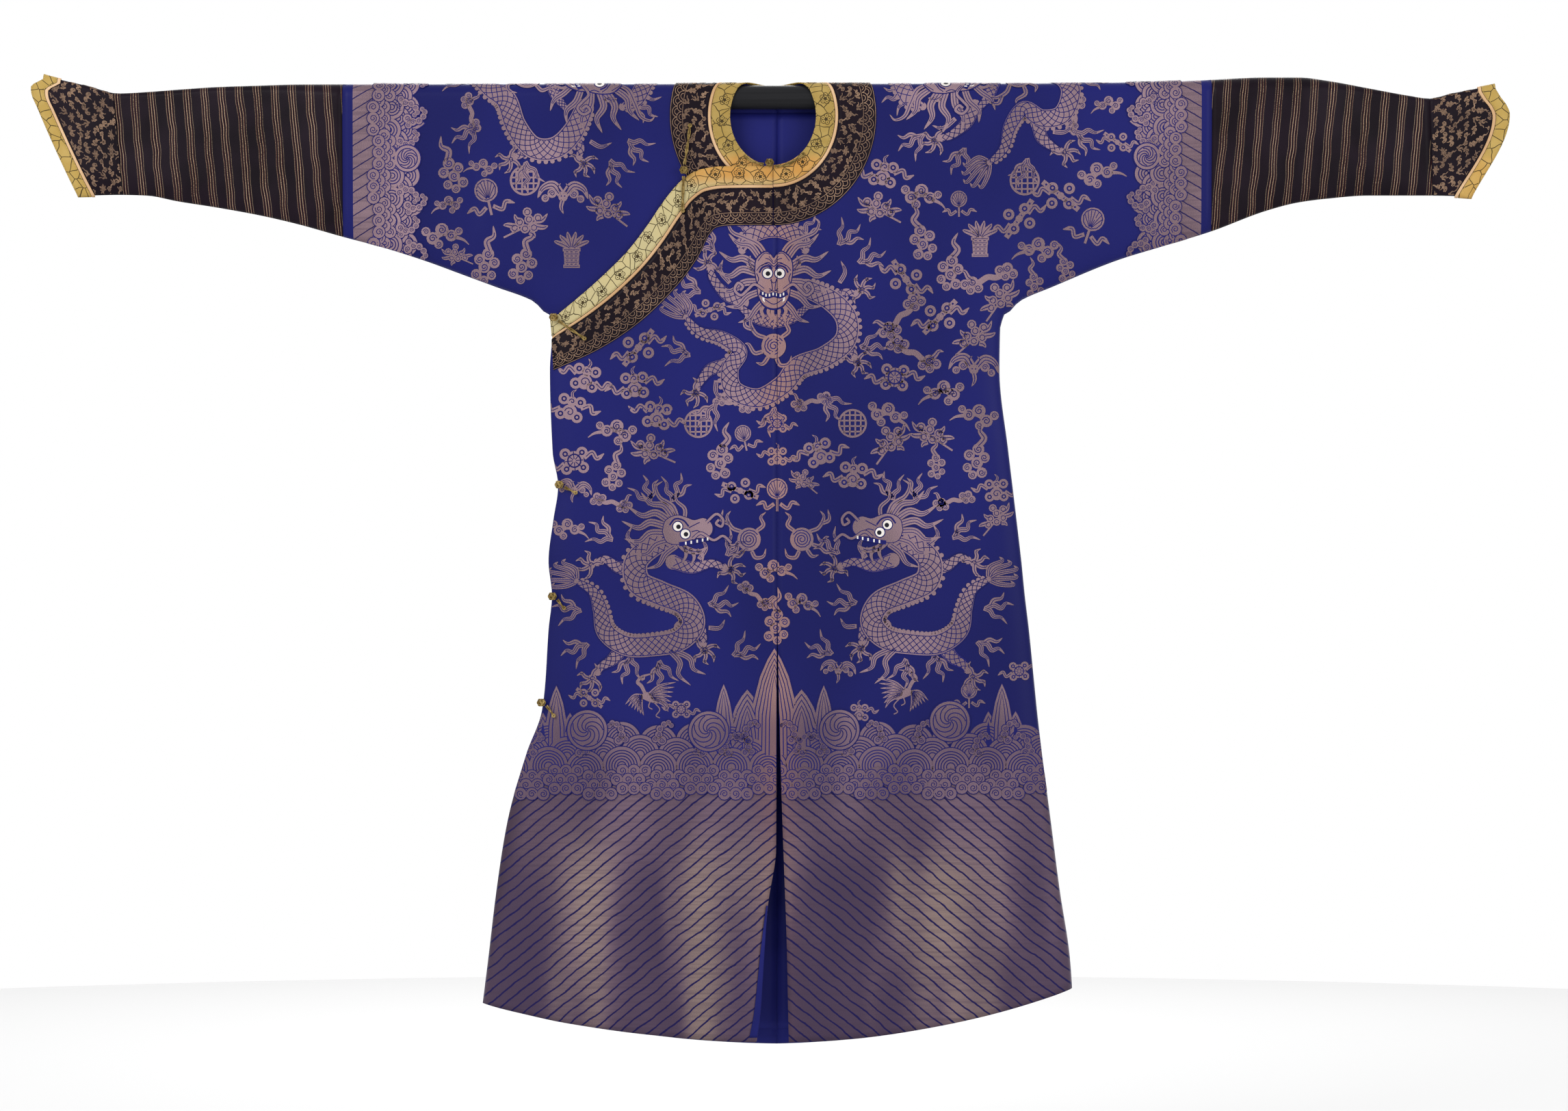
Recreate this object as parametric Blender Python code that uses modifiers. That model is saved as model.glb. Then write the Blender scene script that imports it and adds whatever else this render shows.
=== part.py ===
"""A dragon robe of figured silk, hung flat on a round rod that runs through its sleeves.

The tables are in millimetres, and the model is in metres.  The origin is on the rod's axis at the
middle of the neck.  +Z is up, the front faces -Y, and left and right are those of someone who looks
at the front: left is -X.
"""
import math
from bisect import bisect_right

import bmesh
import bpy
from mathutils import Vector

MM = 0.001

# ---------------------------------------------------------------- driving sizes, in millimetres
ROD_RADIUS = 17.5
ROD_LEFT_END = -628.0
ROD_RIGHT_END = 757.0

CLOTH_WALL = 1.2
BAND_WALL = 1.2
TRIM_WALL = 1.4
PIPING_WALL = 2.0
LINING_WALL = 1.0
SEAM = 0.3              # the gap between two pieces that are sewn edge to edge
LAY_GAP = 0.5           # the gap under a piece that is sewn flat on another

UNDERARM = -317.5       # height of the underarm corners
HEM_CENTRE = -1379.0    # height of the hem at the centre front
HEM_RISE_LEFT = 56.0    # how far the hem has risen at HEM_REACH, on each side
HEM_RISE_RIGHT = 77.0
HEM_REACH = 430.0
BACK_HEM_DROP = 6.0     # the back hangs this much lower than the front
LOWER_ROWS = 8          # rows of the body below the underarms
UNDERLAP_ROWS = 3       # the inner front is plain and ends after this many of them
UNDERLAP_DROP = 4.0     # the inner front lies this far behind the outer front
SIDE_ROUND = 42.0       # width of the rounded stretch beside a side seam or an underarm seam
OPEN_SIDE_LIFT = 5.0    # how far the outer front's loose side edge stands off the back
OPEN_SIDE_REACH = 120.0

SLEEVE_SEAM = 634.0     # the striped extension starts here on both sleeves
CUFF_SEAM_LEFT = (-969.0, -955.0)      # the cuff's seam slants: its X at the fold and at the underside
CUFF_SEAM_RIGHT = (953.0, 957.0)
CUFF_TRIM_WIDTH = 20.0
CUFF_PIPING_WIDTH = 4.5

NECK_CENTRE_X = -6.0    # the neck is an ellipse on the flat cloth, and the rings follow it
NECK_CENTRE_S = 59.5
NECK_HALF_WIDTH = 62.5
NECK_HALF_LENGTH = 71.5
NECK_TURN_IN = 2.5      # the cloth's own edge lies this far inside the edging
TRIM_WIDTH = 28.0
PIPING_WIDTH = 5.0
BAND_WIDTH = 55.0
RING_START = 89.75      # degrees round the neck from +X, through the front at 90
RING_END = -256.0

CUTTER_HALF = 7.0       # half the thickness of a cutter that follows the shoulder fold
RING_STEPS = 60
RING_CELLS = 6
CUTTER_REACH = 60.0
OVERLAP_SIDE = -326.0   # the outer front's side edge above the underarm's height

KNOT_RADIUS = 6.2
CORD_RADIUS = 1.9

SLEEVE_COLUMNS = (357.0, 405.0, 480.0, 560.0)      # the mesh columns of an upper sleeve, by its X
SHOULDER_RIGHT = (40.0, 85.0, 130.0, 165.0)        # and those of the pieces round the neck
SHOULDER_LEFT = (-175.0, -130.0, -85.0, -40.0)
OVERLAP_ROWS = 12
OVERLAP_STEPS = 40      # steps along the overlap's edge

BLUE = (0.030, 0.032, 0.290)
PLUM = (0.030, 0.016, 0.030)
YELLOW = (0.620, 0.500, 0.160)
PEACH = (0.720, 0.500, 0.300)
LINING_BLUE = (0.020, 0.022, 0.240)
CORD_GOLD = (0.330, 0.240, 0.070)
ROD_BLACK = (0.012, 0.012, 0.013)


class Table:
    """Rows of sizes with named columns, read smoothly and without overshoot by the first column."""

    def __init__(self, names, *rows):
        self.places = [row[0] for row in rows]
        self.columns = {name: [row[i] for row in rows] for i, name in enumerate(names.split())}

    def slope(self, values, i):
        def rise(k):
            return (values[k + 1] - values[k]) / (self.places[k + 1] - self.places[k])
        if i == 0:
            return rise(0)
        if i == len(values) - 1:
            return rise(i - 1)
        before, after = rise(i - 1), rise(i)
        if before * after <= 0.0:
            return 0.0
        return 2.0 * before * after / (before + after)

    def read(self, name, place):
        values = self.columns[name]
        place = min(max(place, self.places[0]), self.places[-1])
        i = min(max(bisect_right(self.places, place) - 1, 0), len(values) - 2)
        width = self.places[i + 1] - self.places[i]
        t = (place - self.places[i]) / width
        bend_start = self.slope(values, i) * width
        bend_end = self.slope(values, i + 1) * width
        return ((2 * t**3 - 3 * t**2 + 1) * values[i] + (t**3 - 2 * t**2 + t) * bend_start
                + (3 * t**2 - 2 * t**3) * values[i + 1] + (t**3 - t**2) * bend_end)


# The robe across its whole spread: the shoulder fold, the underside (the underarm's height across
# the body), the fold's radius, and half the depth low down.  On the rod the fold clears the rod.
ACROSS = Table(
    "x      top   under   fold  low",
    (-1092, 38.0, -145.0, 6.0, 6.5),
    (-1072, 32.5, -144.5, 6.0, 6.5),
    (-1045, 25.5, -144.0, 6.0, 6.5),
    (-1008, 17.0, -143.5, 6.5, 7.0),
    (-962,   6.0, -142.5, 7.0, 7.0),
    (-922,   8.0, -143.5, 7.5, 7.5),
    (-876,  11.5, -152.0, 8.5, 8.0),
    (-816,  15.5, -161.5, 9.5, 8.5),
    (-756,  17.5, -172.5, 11.0, 9.0),
    (-700,  19.2, -185.5, 14.5, 9.5),
    (-636,  19.4, -203.5, 19.5, 10.0),
    (-576,  19.4, -219.5, 19.5, 10.5),
    (-516,  19.4, -238.5, 19.5, 11.0),
    (-456,  19.5, -260.5, 19.5, 12.0),
    (-410,  19.5, -277.5, 19.5, 12.5),
    (-357,  19.6, -297.5, 19.5, 13.5),
    (-333,  19.6, -317.5, 19.5, 14.0),
    (0,     20.0, -317.5, 19.5, 14.0),
    (332,   20.5, -317.5, 19.5, 14.0),
    (355,   20.5, -297.5, 19.5, 13.5),
    (401,   21.0, -277.5, 19.5, 12.5),
    (499,   22.0, -237.5, 19.5, 12.0),
    (564,   23.0, -217.5, 19.5, 11.0),
    (634,   26.0, -196.0, 19.5, 10.0),
    (714,   29.5, -166.0, 19.5, 9.0),
    (762,   29.5, -153.5, 19.5, 9.0),
    (804,   24.5, -148.0, 15.0, 8.5),
    (864,   13.5, -143.5, 9.0, 8.0),
    (924,    2.5, -143.5, 7.5, 7.5),
    (953,   -1.5, -143.5, 7.0, 7.0),
    (984,    5.5, -144.0, 6.5, 6.5),
    (1014,  11.5, -146.0, 6.0, 6.5),
    (1049,  18.5, -147.0, 6.0, 6.5),
    (1072,  22.0, -148.0, 6.0, 6.5),
)

# The outline below the underarms, from the hem up, and half the depth of the front and the back.
DOWN = Table(
    "z      left    right   front  back",
    (-1330, -431.0, 433.0, 23.0, 22.0),
    (-1258, -422.0, 428.0, 21.0, 20.0),
    (-1158, -410.0, 413.0, 18.5, 17.5),
    (-1058, -394.0, 400.0, 16.5, 16.0),
    (-958,  -366.0, 387.0, 15.0, 14.5),
    (-898,  -344.0, 380.0, 14.5, 14.0),
    (-858,  -339.0, 376.0, 14.0, 13.5),
    (-778,  -334.0, 368.0, 13.5, 13.0),
    (-728,  -329.0, 362.0, 13.3, 13.0),
    (-678,  -334.0, 357.0, 13.2, 13.0),
    (-618,  -327.0, 350.0, 13.0, 13.0),
    (-568,  -320.0, 344.0, 13.0, 13.0),
    (-518,  -328.0, 338.0, 13.2, 13.0),
    (-398,  -332.0, 325.0, 13.6, 13.6),
    (-338,  -328.0, 326.0, 13.9, 13.9),
    (-317.5, -333.0, 332.0, 14.0, 14.0),
)

# The centre front: the edges of the two panels, from the hem up.
SLIT = Table(
    "z      left   right",
    (-1380, -30.0, 17.0),
    (-1336, -24.0, 16.0),
    (-1238, -18.0, 14.0),
    (-1177, -13.0, 12.0),
    (-1097,  -1.5, 9.0),
    (-870,   -0.6, 2.0),
    (-728,  -0.15, 0.15),
)

# The overlap's upper edge from the centre front to the underarm, with the place on the dark band's
# outer edge that lies opposite.
OVERLAP = Table(
    "step edge_x  edge_z  outer_x outer_z",
    (0,   -6.3, -101.5,   -6.3, -187.5),
    (1,  -42.0, -101.5,  -38.0, -187.5),
    (2,  -80.0, -102.0,  -68.0, -188.0),
    (3, -112.0, -106.5,  -88.0, -191.0),
    (4, -137.0, -120.5, -100.0, -203.0),
    (5, -162.0, -148.0, -112.0, -228.0),
    (6, -188.0, -186.0, -130.0, -256.0),
    (7, -217.0, -224.0, -158.0, -289.0),
    (8, -256.0, -263.0, -203.0, -331.0),
    (9, -290.0, -293.0, -257.0, -367.0),
    (10, -340.0, -334.0, -342.0, -406.0),
)

# The flared end of each cuff: the X of its edge by the share of the way down from the fold.
HOOF = Table(
    "share  left     right",
    (0.00, -1072.0, 1049.0),
    (0.10, -1090.0, 1058.0),
    (0.15, -1089.0, 1064.0),
    (0.25, -1081.0, 1070.0),
    (1.00, -1022.0, 1015.0),
)

# Broad soft folds of the skirt: a line from top to foot, its width, and how far it stands out.
FOLD_COLUMNS = "top_x top_z foot_x foot_z width height"
FRONT_FOLDS = (
    (-330, -930, -322, -1400, 30, 6.0),
    (-250, -960, -300, -1400, 60, 3.5),
    (-150, -1000, -170, -1400, 45, -3.5),
    (-60, -1050, -75, -1400, 40, 3.5),
    (90, -1000, 110, -1400, 45, 4.0),
    (190, -1000, 220, -1400, 45, -3.0),
    (300, -960, 340, -1400, 50, 3.5),
)
BACK_FOLDS = (
    (-260, -940, -300, -1400, 55, 4.0),
    (-120, -980, -140, -1400, 50, -3.5),
    (40, -960, 50, -1400, 55, 4.0),
    (170, -1000, 200, -1400, 45, -3.0),
    (290, -960, 330, -1400, 50, 4.0),
)


# ---------------------------------------------------------------- the form of the hung cloth

def soft_step(value):
    value = min(max(value, 0.0), 1.0)
    return value * value * (3.0 - 2.0 * value)


def mix(start, end, share):
    return start + (end - start) * share


def seam_line(side):
    """The underarm seam and the side seam of one side, as points from the cuff to the hem."""
    end, column = (-1092.0, "left") if side < 0 else (1072.0, "right")
    armpit = DOWN.read(column, UNDERARM)
    steps = 40
    sleeve = [mix(end, armpit, i / steps) for i in range(steps)]
    body = [mix(UNDERARM, -1400.0, i / steps) for i in range(steps + 1)]
    return ([Vector((x, ACROSS.read("under", x))) for x in sleeve]
            + [Vector((DOWN.read(column, z), z)) for z in body])


SEAM_LINES = {-1: seam_line(-1), 1: seam_line(1)}


def seam_distance(x, z):
    """How far a place on the spread cloth lies from its side's seam."""
    here = Vector((x, z))
    best = math.inf
    line = SEAM_LINES[-1 if x < 0 else 1]
    for start, end in zip(line, line[1:]):
        run = end - start
        share = min(max((here - start).dot(run) / run.length_squared, 0.0), 1.0)
        best = min(best, (here - start - run * share).length)
    return best


def fold_height(x, z, folds):
    """The broad folds' part of the depth, which fades in down the line of each."""
    total = 0.0
    for row in folds:
        fold = dict(zip(FOLD_COLUMNS.split(), row))
        share = (z - fold["top_z"]) / (fold["foot_z"] - fold["top_z"])
        middle = mix(fold["top_x"], fold["foot_x"], share)
        total += fold["height"] * soft_step(share) * math.exp(-((x - middle) / fold["width"]) ** 2)
    return total


def half_depth(x, z, face):
    """How far the cloth's outer face stands from the middle plane.

    face is front, back, inner (the underlap) or outer (the overlap's panel).
    """
    centre = ACROSS.read("top", x) - ACROSS.read("fold", x)
    floor = ACROSS.read("under", x)
    column = "back" if face == "back" else "front"
    low = ACROSS.read("low", x)
    if z < UNDERARM:
        low = DOWN.read(column, z)
    depth = mix(ACROSS.read("fold", x), low, soft_step((centre - z) / (centre - floor)))
    distance = seam_distance(x, z)
    round_off = math.sqrt(1.0 - (1.0 - min(distance / SIDE_ROUND, 1.0)) ** 2)
    depth += fold_height(x, z, BACK_FOLDS if face == "back" else FRONT_FOLDS)
    if face == "inner":
        depth -= UNDERLAP_DROP * soft_step((-z - 10.0) / 70.0) * soft_step((x + 420.0) / 80.0)
    depth *= round_off
    if face == "outer":
        spare = OPEN_SIDE_LIFT * (1.0 - soft_step(distance / OPEN_SIDE_REACH))
        depth = math.hypot(depth, spare)
    return depth


def on_sheet(x, z, face):
    """The point of a face of the hanging cloth, below the shoulder fold."""
    depth = half_depth(x, z, face)
    return Vector((x, depth if face == "back" else -depth, z))


def on_fold(x, degrees, lift=0.0):
    """The point of the shoulder fold: 0 is its top, 90 its front and -90 its back."""
    radius = ACROSS.read("fold", x)
    angle = math.radians(degrees)
    centre = ACROSS.read("top", x) - radius
    out = radius + lift
    return Vector((x, -out * math.sin(angle), centre + out * math.cos(angle)))


def on_cloth(x, s, face, lift=0.0):
    """The point at a place of the flat cloth: s runs down the front from the fold's top, and down
    the back where it is negative."""
    radius = ACROSS.read("fold", x)
    quarter = radius * math.pi / 2
    if abs(s) < quarter:
        return on_fold(x, math.degrees(s / radius), lift)
    z = ACROSS.read("top", x) - radius - (abs(s) - quarter)
    point = on_sheet(x, z, face if s > 0 else "back")
    point.y += -lift if s > 0 else lift
    return point


def hem_height(x):
    rise = HEM_RISE_LEFT if x < 0 else HEM_RISE_RIGHT
    return HEM_CENTRE + rise * (x / HEM_REACH) ** 2


ARMPITS = (DOWN.read("left", UNDERARM), DOWN.read("right", UNDERARM))
FOLD_ANGLES = [0.0, 22.5, 45.0, 67.5, 90.0]
FALL_SHARES = [0.2, 0.5, 0.8, 0.95, 1.0]


def ring_column(place, front="front"):
    """One column of a sleeve: up the front from the underside, over the fold and down the back.

    place gives the column's X by the share of the way down."""
    def falling(face):
        points = []
        for share in FALL_SHARES:
            x = place(share)
            centre = ACROSS.read("top", x) - ACROSS.read("fold", x)
            z = mix(centre, ACROSS.read("under", x), share)
            at_seam = share == 1.0 and not ARMPITS[0] < x < ARMPITS[1]
            points.append(Vector((x, 0.0, z)) if at_seam else on_sheet(x, z, face))
        return points
    over = [on_fold(place(0.0), degrees) for degrees in FOLD_ANGLES[::-1]]
    back_over = [on_fold(place(0.0), -degrees) for degrees in FOLD_ANGLES[1:]]
    return falling(front)[::-1] + over + back_over + falling("back")


def body_column(share, side, front, front_count, centre_front):
    """One column of the body, from the front's foot over the shoulder to the back's foot.

    share is 0 at the centre and 1 at the side, and the front ends after front_count rows."""
    column = "left" if side < 0 else "right"

    def lower(face, drop, centre_line, count):
        points = []
        for i in range(1, count + 1):
            x = side * SEAM / 2
            z = UNDERARM
            for _ in range(4):
                z = mix(UNDERARM, hem_height(x) - drop, i / LOWER_ROWS)
                x = mix(centre_line(z), DOWN.read(column, z), share)
            points.append(on_sheet(x, z, face) if share < 1.0 else Vector((x, 0.0, z)))
        return points

    top_x = mix(side * SEAM / 2, DOWN.read(column, UNDERARM), share)
    upper = ring_column(lambda _: top_x, front)
    front_low = lower(front, 0.0, centre_front, front_count)
    back_low = lower("back", BACK_HEM_DROP * (1.0 - share), lambda z: side * SEAM / 2, LOWER_ROWS)
    return front_low[::-1] + upper + back_low


# ---------------------------------------------------------------- making objects

def new_collection(name):
    collection = bpy.data.collections.new(name)
    bpy.context.scene.collection.children.link(collection)
    return collection


for old in list(bpy.data.objects):
    bpy.data.objects.remove(old)
PARTS = new_collection("dragon_robe_on_rod")
CUTTERS = new_collection("cutters")


def material(name, colour, roughness, metallic=0.0):
    made = bpy.data.materials.new(name)
    made.use_nodes = True
    shader = made.node_tree.nodes["Principled BSDF"]
    shader.inputs["Base Color"].default_value = (*colour, 1.0)
    shader.inputs["Roughness"].default_value = roughness
    shader.inputs["Metallic"].default_value = metallic
    return made


SATIN = material("blue_figured_satin", BLUE, 0.45)
DARK_SATIN = material("plum_figured_satin", PLUM, 0.45)
STRIPED = material("striped_satin", PLUM, 0.45)
EDGING = material("yellow_figured_satin", YELLOW, 0.50)
PIPING = material("peach_satin", PEACH, 0.50)
LINING = material("plain_blue_silk", LINING_BLUE, 0.55)
CORD = material("gold_cord", CORD_GOLD, 0.55)
ROD = material("satin_black", ROD_BLACK, 0.35)


def sheet_object(name, grids, wall, finish, lay=None, collection=PARTS):
    """A walled cloth piece from grids of points whose columns run to +X and rows up the front.

    The grids' points are the outer face, and the wall goes inwards.  A piece that lies on another is
    moved out by lay first, and its wall goes outwards."""
    cage = bmesh.new()
    for grid in grids:
        rows = [[cage.verts.new(point * MM) for point in column] for column in grid]
        for left, right in zip(rows, rows[1:]):
            for i in range(len(left) - 1):
                cage.faces.new((left[i], right[i], right[i + 1], left[i + 1]))
    bmesh.ops.remove_doubles(cage, verts=cage.verts, dist=0.00002)
    mesh = bpy.data.meshes.new(name)
    cage.to_mesh(mesh)
    cage.free()
    piece = bpy.data.objects.new(name, mesh)
    piece.data.materials.append(finish)
    collection.objects.link(piece)
    if lay is not None:
        moved = piece.modifiers.new("moved_out", "DISPLACE")
        moved.direction = "NORMAL"
        moved.mid_level = 0.0
        moved.strength = lay * MM
    walled = piece.modifiers.new("wall", "SOLIDIFY")
    walled.thickness = wall * MM
    walled.offset = -1.0 if lay is None else 1.0
    walled.use_even_offset = True
    return piece


def move_to_parts(piece):
    for home in list(piece.users_collection):
        home.objects.unlink(piece)
    PARTS.objects.link(piece)


def cut_with(piece, cutter, operation="DIFFERENCE"):
    cut = piece.modifiers.new("cut", "BOOLEAN")
    cut.operation = operation
    cut.object = cutter


# ---------------------------------------------------------------- the neck

def neck_place(degrees, outwards):
    """A place of the flat cloth at an angle round the neck, so far outside the neck's edge."""
    angle = math.radians(degrees)
    cos, sin = math.cos(angle), math.sin(angle)
    normal = Vector((cos / NECK_HALF_WIDTH, sin / NECK_HALF_LENGTH)).normalized()
    return (NECK_CENTRE_X + NECK_HALF_WIDTH * cos + normal.x * outwards,
            NECK_CENTRE_S + NECK_HALF_LENGTH * sin + normal.y * outwards)


def cutter_object(name, cage):
    """A cutter from a closed bmesh cage in millimetres."""
    bmesh.ops.scale(cage, vec=(MM, MM, MM), verts=cage.verts)
    bmesh.ops.recalc_face_normals(cage, faces=cage.faces)
    mesh = bpy.data.meshes.new(name)
    cage.to_mesh(mesh)
    cage.free()
    cutter = bpy.data.objects.new(name, mesh)
    CUTTERS.objects.link(cutter)
    cutter.hide_render = True
    cutter.display_type = "WIRE"
    return cutter


def curved_ring(name, start, end, inner, outer):
    """A thick ring, or a disc where inner is None, that follows the fold round the neck."""
    cage = bmesh.new()
    shells = []
    for lift in (-CUTTER_HALF, CUTTER_HALF):
        rows = []
        for i in range(RING_STEPS + 1):
            degrees = mix(start, end, i / RING_STEPS)
            far = Vector(neck_place(degrees, outer))
            near = Vector((NECK_CENTRE_X, NECK_CENTRE_S))
            if inner is not None:
                near = Vector(neck_place(degrees, inner))
            places = [near.lerp(far, j / RING_CELLS) for j in range(RING_CELLS + 1)]
            rows.append([cage.verts.new(on_cloth(place.x, place.y, "front", lift)) for place in places])
        shells.append(rows)
        for before, after in zip(rows, rows[1:]):
            for j in range(RING_CELLS):
                cage.faces.new((before[j], after[j], after[j + 1], before[j + 1]))
    under, over = shells
    for i in range(RING_STEPS):
        for j in (0, RING_CELLS):
            if j or inner is not None:
                cage.faces.new((under[i][j], under[i + 1][j], over[i + 1][j]))
                cage.faces.new((under[i][j], over[i + 1][j], over[i][j]))
    if abs(end - start) < 360.0:
        for i in (0, RING_STEPS):
            for j in range(RING_CELLS):
                cage.faces.new((under[i][j], under[i][j + 1], over[i][j + 1], over[i][j]))
    bmesh.ops.remove_doubles(cage, verts=cage.verts, dist=0.01)
    return cutter_object(name, cage)


NECK_CUTTER = curved_ring("neck_cutter", 0.0, 360.0, None, NECK_TURN_IN)


# ---------------------------------------------------------------- the cloth pieces

BODY_SHARES = [0.0, 0.22, 0.45, 0.68, 0.88, 0.965, 1.0]


def half(name, side, front, front_count, centre_front):
    """One loom width over the shoulder, with its upper sleeve."""
    shares = BODY_SHARES[::-1] if side < 0 else BODY_SHARES
    body = [body_column(share, side, front, front_count, centre_front) for share in shares]
    armpit = ARMPITS[0] if side < 0 else ARMPITS[1]
    stations = [armpit, *(side * x for x in SLEEVE_COLUMNS), side * SLEEVE_SEAM]
    if side < 0:
        stations.reverse()
    sleeve = [ring_column(lambda _, x=x: x, front) for x in stations]
    piece = sheet_object(name, [body, sleeve], CLOTH_WALL, SATIN)
    cut_with(piece, NECK_CUTTER)
    return piece


half("half_right", 1, "front", LOWER_ROWS, lambda z: SLIT.read("right", z))
half("half_left", -1, "inner", UNDERLAP_ROWS, lambda z: -SEAM / 2)


def overlap_edge(x):
    """The height of the outer front's upper edge, which its edging covers."""
    steps = 3 * OVERLAP_STEPS
    for i in range(steps + 1):
        step = OVERLAP.places[-1] * i / steps
        if OVERLAP.read("edge_x", step) <= x:
            return OVERLAP.read("edge_z", step) - NECK_TURN_IN
    return OVERLAP.read("edge_z", OVERLAP.places[-1]) - NECK_TURN_IN


def overlap_grid(above):
    """The outer front, from its edging down to the hem and from the centre front to the side.

    above adds a row of points so far above the panel's own edge."""
    columns = []
    for share in BODY_SHARES[::-1]:
        column = []
        x = 0.0
        for i in range(OVERLAP_ROWS + 1):
            x = mix(-SEAM / 2, OVERLAP_SIDE, share)
            z = UNDERARM
            for _ in range(6):
                z = mix(hem_height(x), overlap_edge(x), i / OVERLAP_ROWS)
                side_x = DOWN.read("left", z) if z < UNDERARM else OVERLAP_SIDE
                x = mix(SLIT.read("left", z), side_x, share)
            column.append(on_sheet(x, z, "outer"))
        if above:
            column.append(on_sheet(x, column[-1].z + above, "outer"))
        columns.append(column)
    return columns


sheet_object("overlap_front", [overlap_grid(0.0)], CLOTH_WALL, SATIN)


def overlap_cutter(name, inner, outer):
    """A prism through the front along the overlap's edge, by its distances from the edge."""
    whole = TRIM_WIDTH + PIPING_WIDTH + BAND_WIDTH
    near, far = [], []
    for i in range(OVERLAP_STEPS + 1):
        step = OVERLAP.places[-1] * i / OVERLAP_STEPS
        edge = Vector((OVERLAP.read("edge_x", step), OVERLAP.read("edge_z", step)))
        opposite = Vector((OVERLAP.read("outer_x", step), OVERLAP.read("outer_z", step)))
        near.append(edge.lerp(opposite, inner / whole))
        far.append(edge.lerp(opposite, outer / whole))
    cage = bmesh.new()
    grid = [[cage.verts.new((place.x, -CUTTER_REACH, place.y)) for place in line]
            for line in (near, far)]
    for i in range(OVERLAP_STEPS):
        cage.faces.new((grid[0][i], grid[0][i + 1], grid[1][i + 1], grid[1][i]))
    grown = bmesh.ops.extrude_face_region(cage, geom=cage.faces[:])
    moved = [item for item in grown["geom"] if isinstance(item, bmesh.types.BMVert)]
    bmesh.ops.translate(cage, vec=(0.0, CUTTER_REACH, 0.0), verts=moved)
    return cutter_object(name, cage)


def shoulder_grids():
    """The cloth round the neck: its right part, and its left part, whose front is the underlap."""
    def columns(places, front):
        return [ring_column(lambda _, x=x: x, front)[2:-3] for x in places]
    return [columns([NECK_CENTRE_X, *SHOULDER_RIGHT], "front"),
            columns([*SHOULDER_LEFT, NECK_CENTRE_X], "inner")]


EDGE_STRIPS = (
    ("trim", 0.0, TRIM_WIDTH - SEAM, TRIM_WALL, EDGING),
    ("piping", TRIM_WIDTH, TRIM_WIDTH + PIPING_WIDTH - SEAM, PIPING_WALL, PIPING),
    ("band", TRIM_WIDTH + PIPING_WIDTH, TRIM_WIDTH + PIPING_WIDTH + BAND_WIDTH, BAND_WALL, DARK_SATIN),
)
for kind, inner, outer, wall, finish in EDGE_STRIPS:
    ring = sheet_object("neck_" + kind, shoulder_grids(), wall, finish, LAY_GAP)
    cut_with(ring, curved_ring("neck_cutter_" + kind, RING_START, RING_END, inner, outer), "INTERSECT")
    strip = sheet_object("overlap_" + kind, [overlap_grid(4.0)], wall, finish, LAY_GAP)
    cut_with(strip, overlap_cutter("overlap_cutter_" + kind, inner, outer), "INTERSECT")


# ---------------------------------------------------------------- the sleeves' lower pieces

def cuff_seam(side, gap):
    """The X of the seam between extension and cuff by the share down, moved outwards by gap."""
    top, under = CUFF_SEAM_LEFT if side < 0 else CUFF_SEAM_RIGHT
    return lambda share: mix(top, under, share) + side * gap


def tube(starts, ends, stations):
    """A grid of a sleeve's tube between two lines that give X by the share down."""
    def between(along):
        return lambda share: mix(starts(share), ends(share), along)
    return [ring_column(between(along)) for along in stations]


def lower_sleeve(side, word):
    def flip(grid):
        return grid if side > 0 else grid[::-1]

    def hoof(share):
        return HOOF.read(word, share)

    def seam_with_sleeve(_share):
        return side * (SLEEVE_SEAM + SEAM)

    extension = tube(seam_with_sleeve, cuff_seam(side, 0.0), [0.0, 0.2, 0.4, 0.55, 0.7, 0.85, 1.0])
    sheet_object("sleeve_extension_" + word, [flip(extension)], CLOTH_WALL, STRIPED)
    cuff = tube(cuff_seam(side, SEAM), hoof, [0.0, 0.25, 0.5, 0.75, 1.0])
    sheet_object("cuff_" + word, [flip(cuff)], CLOTH_WALL, DARK_SATIN)

    def inside(distance):
        return lambda share: hoof(share) - side * distance

    trim = tube(inside(CUFF_TRIM_WIDTH), hoof, [0.0, 1.0])
    sheet_object("cuff_trim_" + word, [flip(trim)], TRIM_WALL, EDGING, LAY_GAP)
    near = CUFF_TRIM_WIDTH + 2 * SEAM
    piping = tube(inside(near + CUFF_PIPING_WIDTH), inside(near), [0.0, 1.0])
    sheet_object("cuff_piping_" + word, [flip(piping)], PIPING_WALL, PIPING, LAY_GAP)


lower_sleeve(-1, "left")
lower_sleeve(1, "right")


# ---------------------------------------------------------------- the lining that shows

LINING_TOP = -21.0       # the lining is seen below the rod
LINING_COLUMNS = 5       # and no further to the side than these columns of the body
LINING_FOOT = 0.9        # it ends at this share of the last row above the hem


def back_lining(name, side):
    columns = []
    for share in BODY_SHARES[:LINING_COLUMNS]:
        whole = body_column(share, side, "front", 0, lambda z: side * SEAM / 2)
        column = whole[-len(FALL_SHARES) - LOWER_ROWS:]
        column.insert(0, on_sheet(column[0].x, LINING_TOP, "back"))
        column[-1] = column[-2].lerp(column[-1], LINING_FOOT)
        inwards = Vector((0.0, CLOTH_WALL + LAY_GAP, 0.0))
        columns.append([point - inwards for point in column])
    if side < 0:
        columns.reverse()
    return sheet_object(name, [columns], LINING_WALL, LINING)


back_lining("lining_left", -1)
back_lining("lining_right", 1)


TURN_FOOT, TURN_TOP = -1372.0, -1180.0             # the heights between which it turns out
TURN_FOOT_WIDTH, TURN_TOP_WIDTH = 12.0, 2.5
TURN_EDGE = 0.2          # it stays so far inside the panel's own edge
TURN_LAY = 0.9
TURN_ROWS = 6


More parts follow.
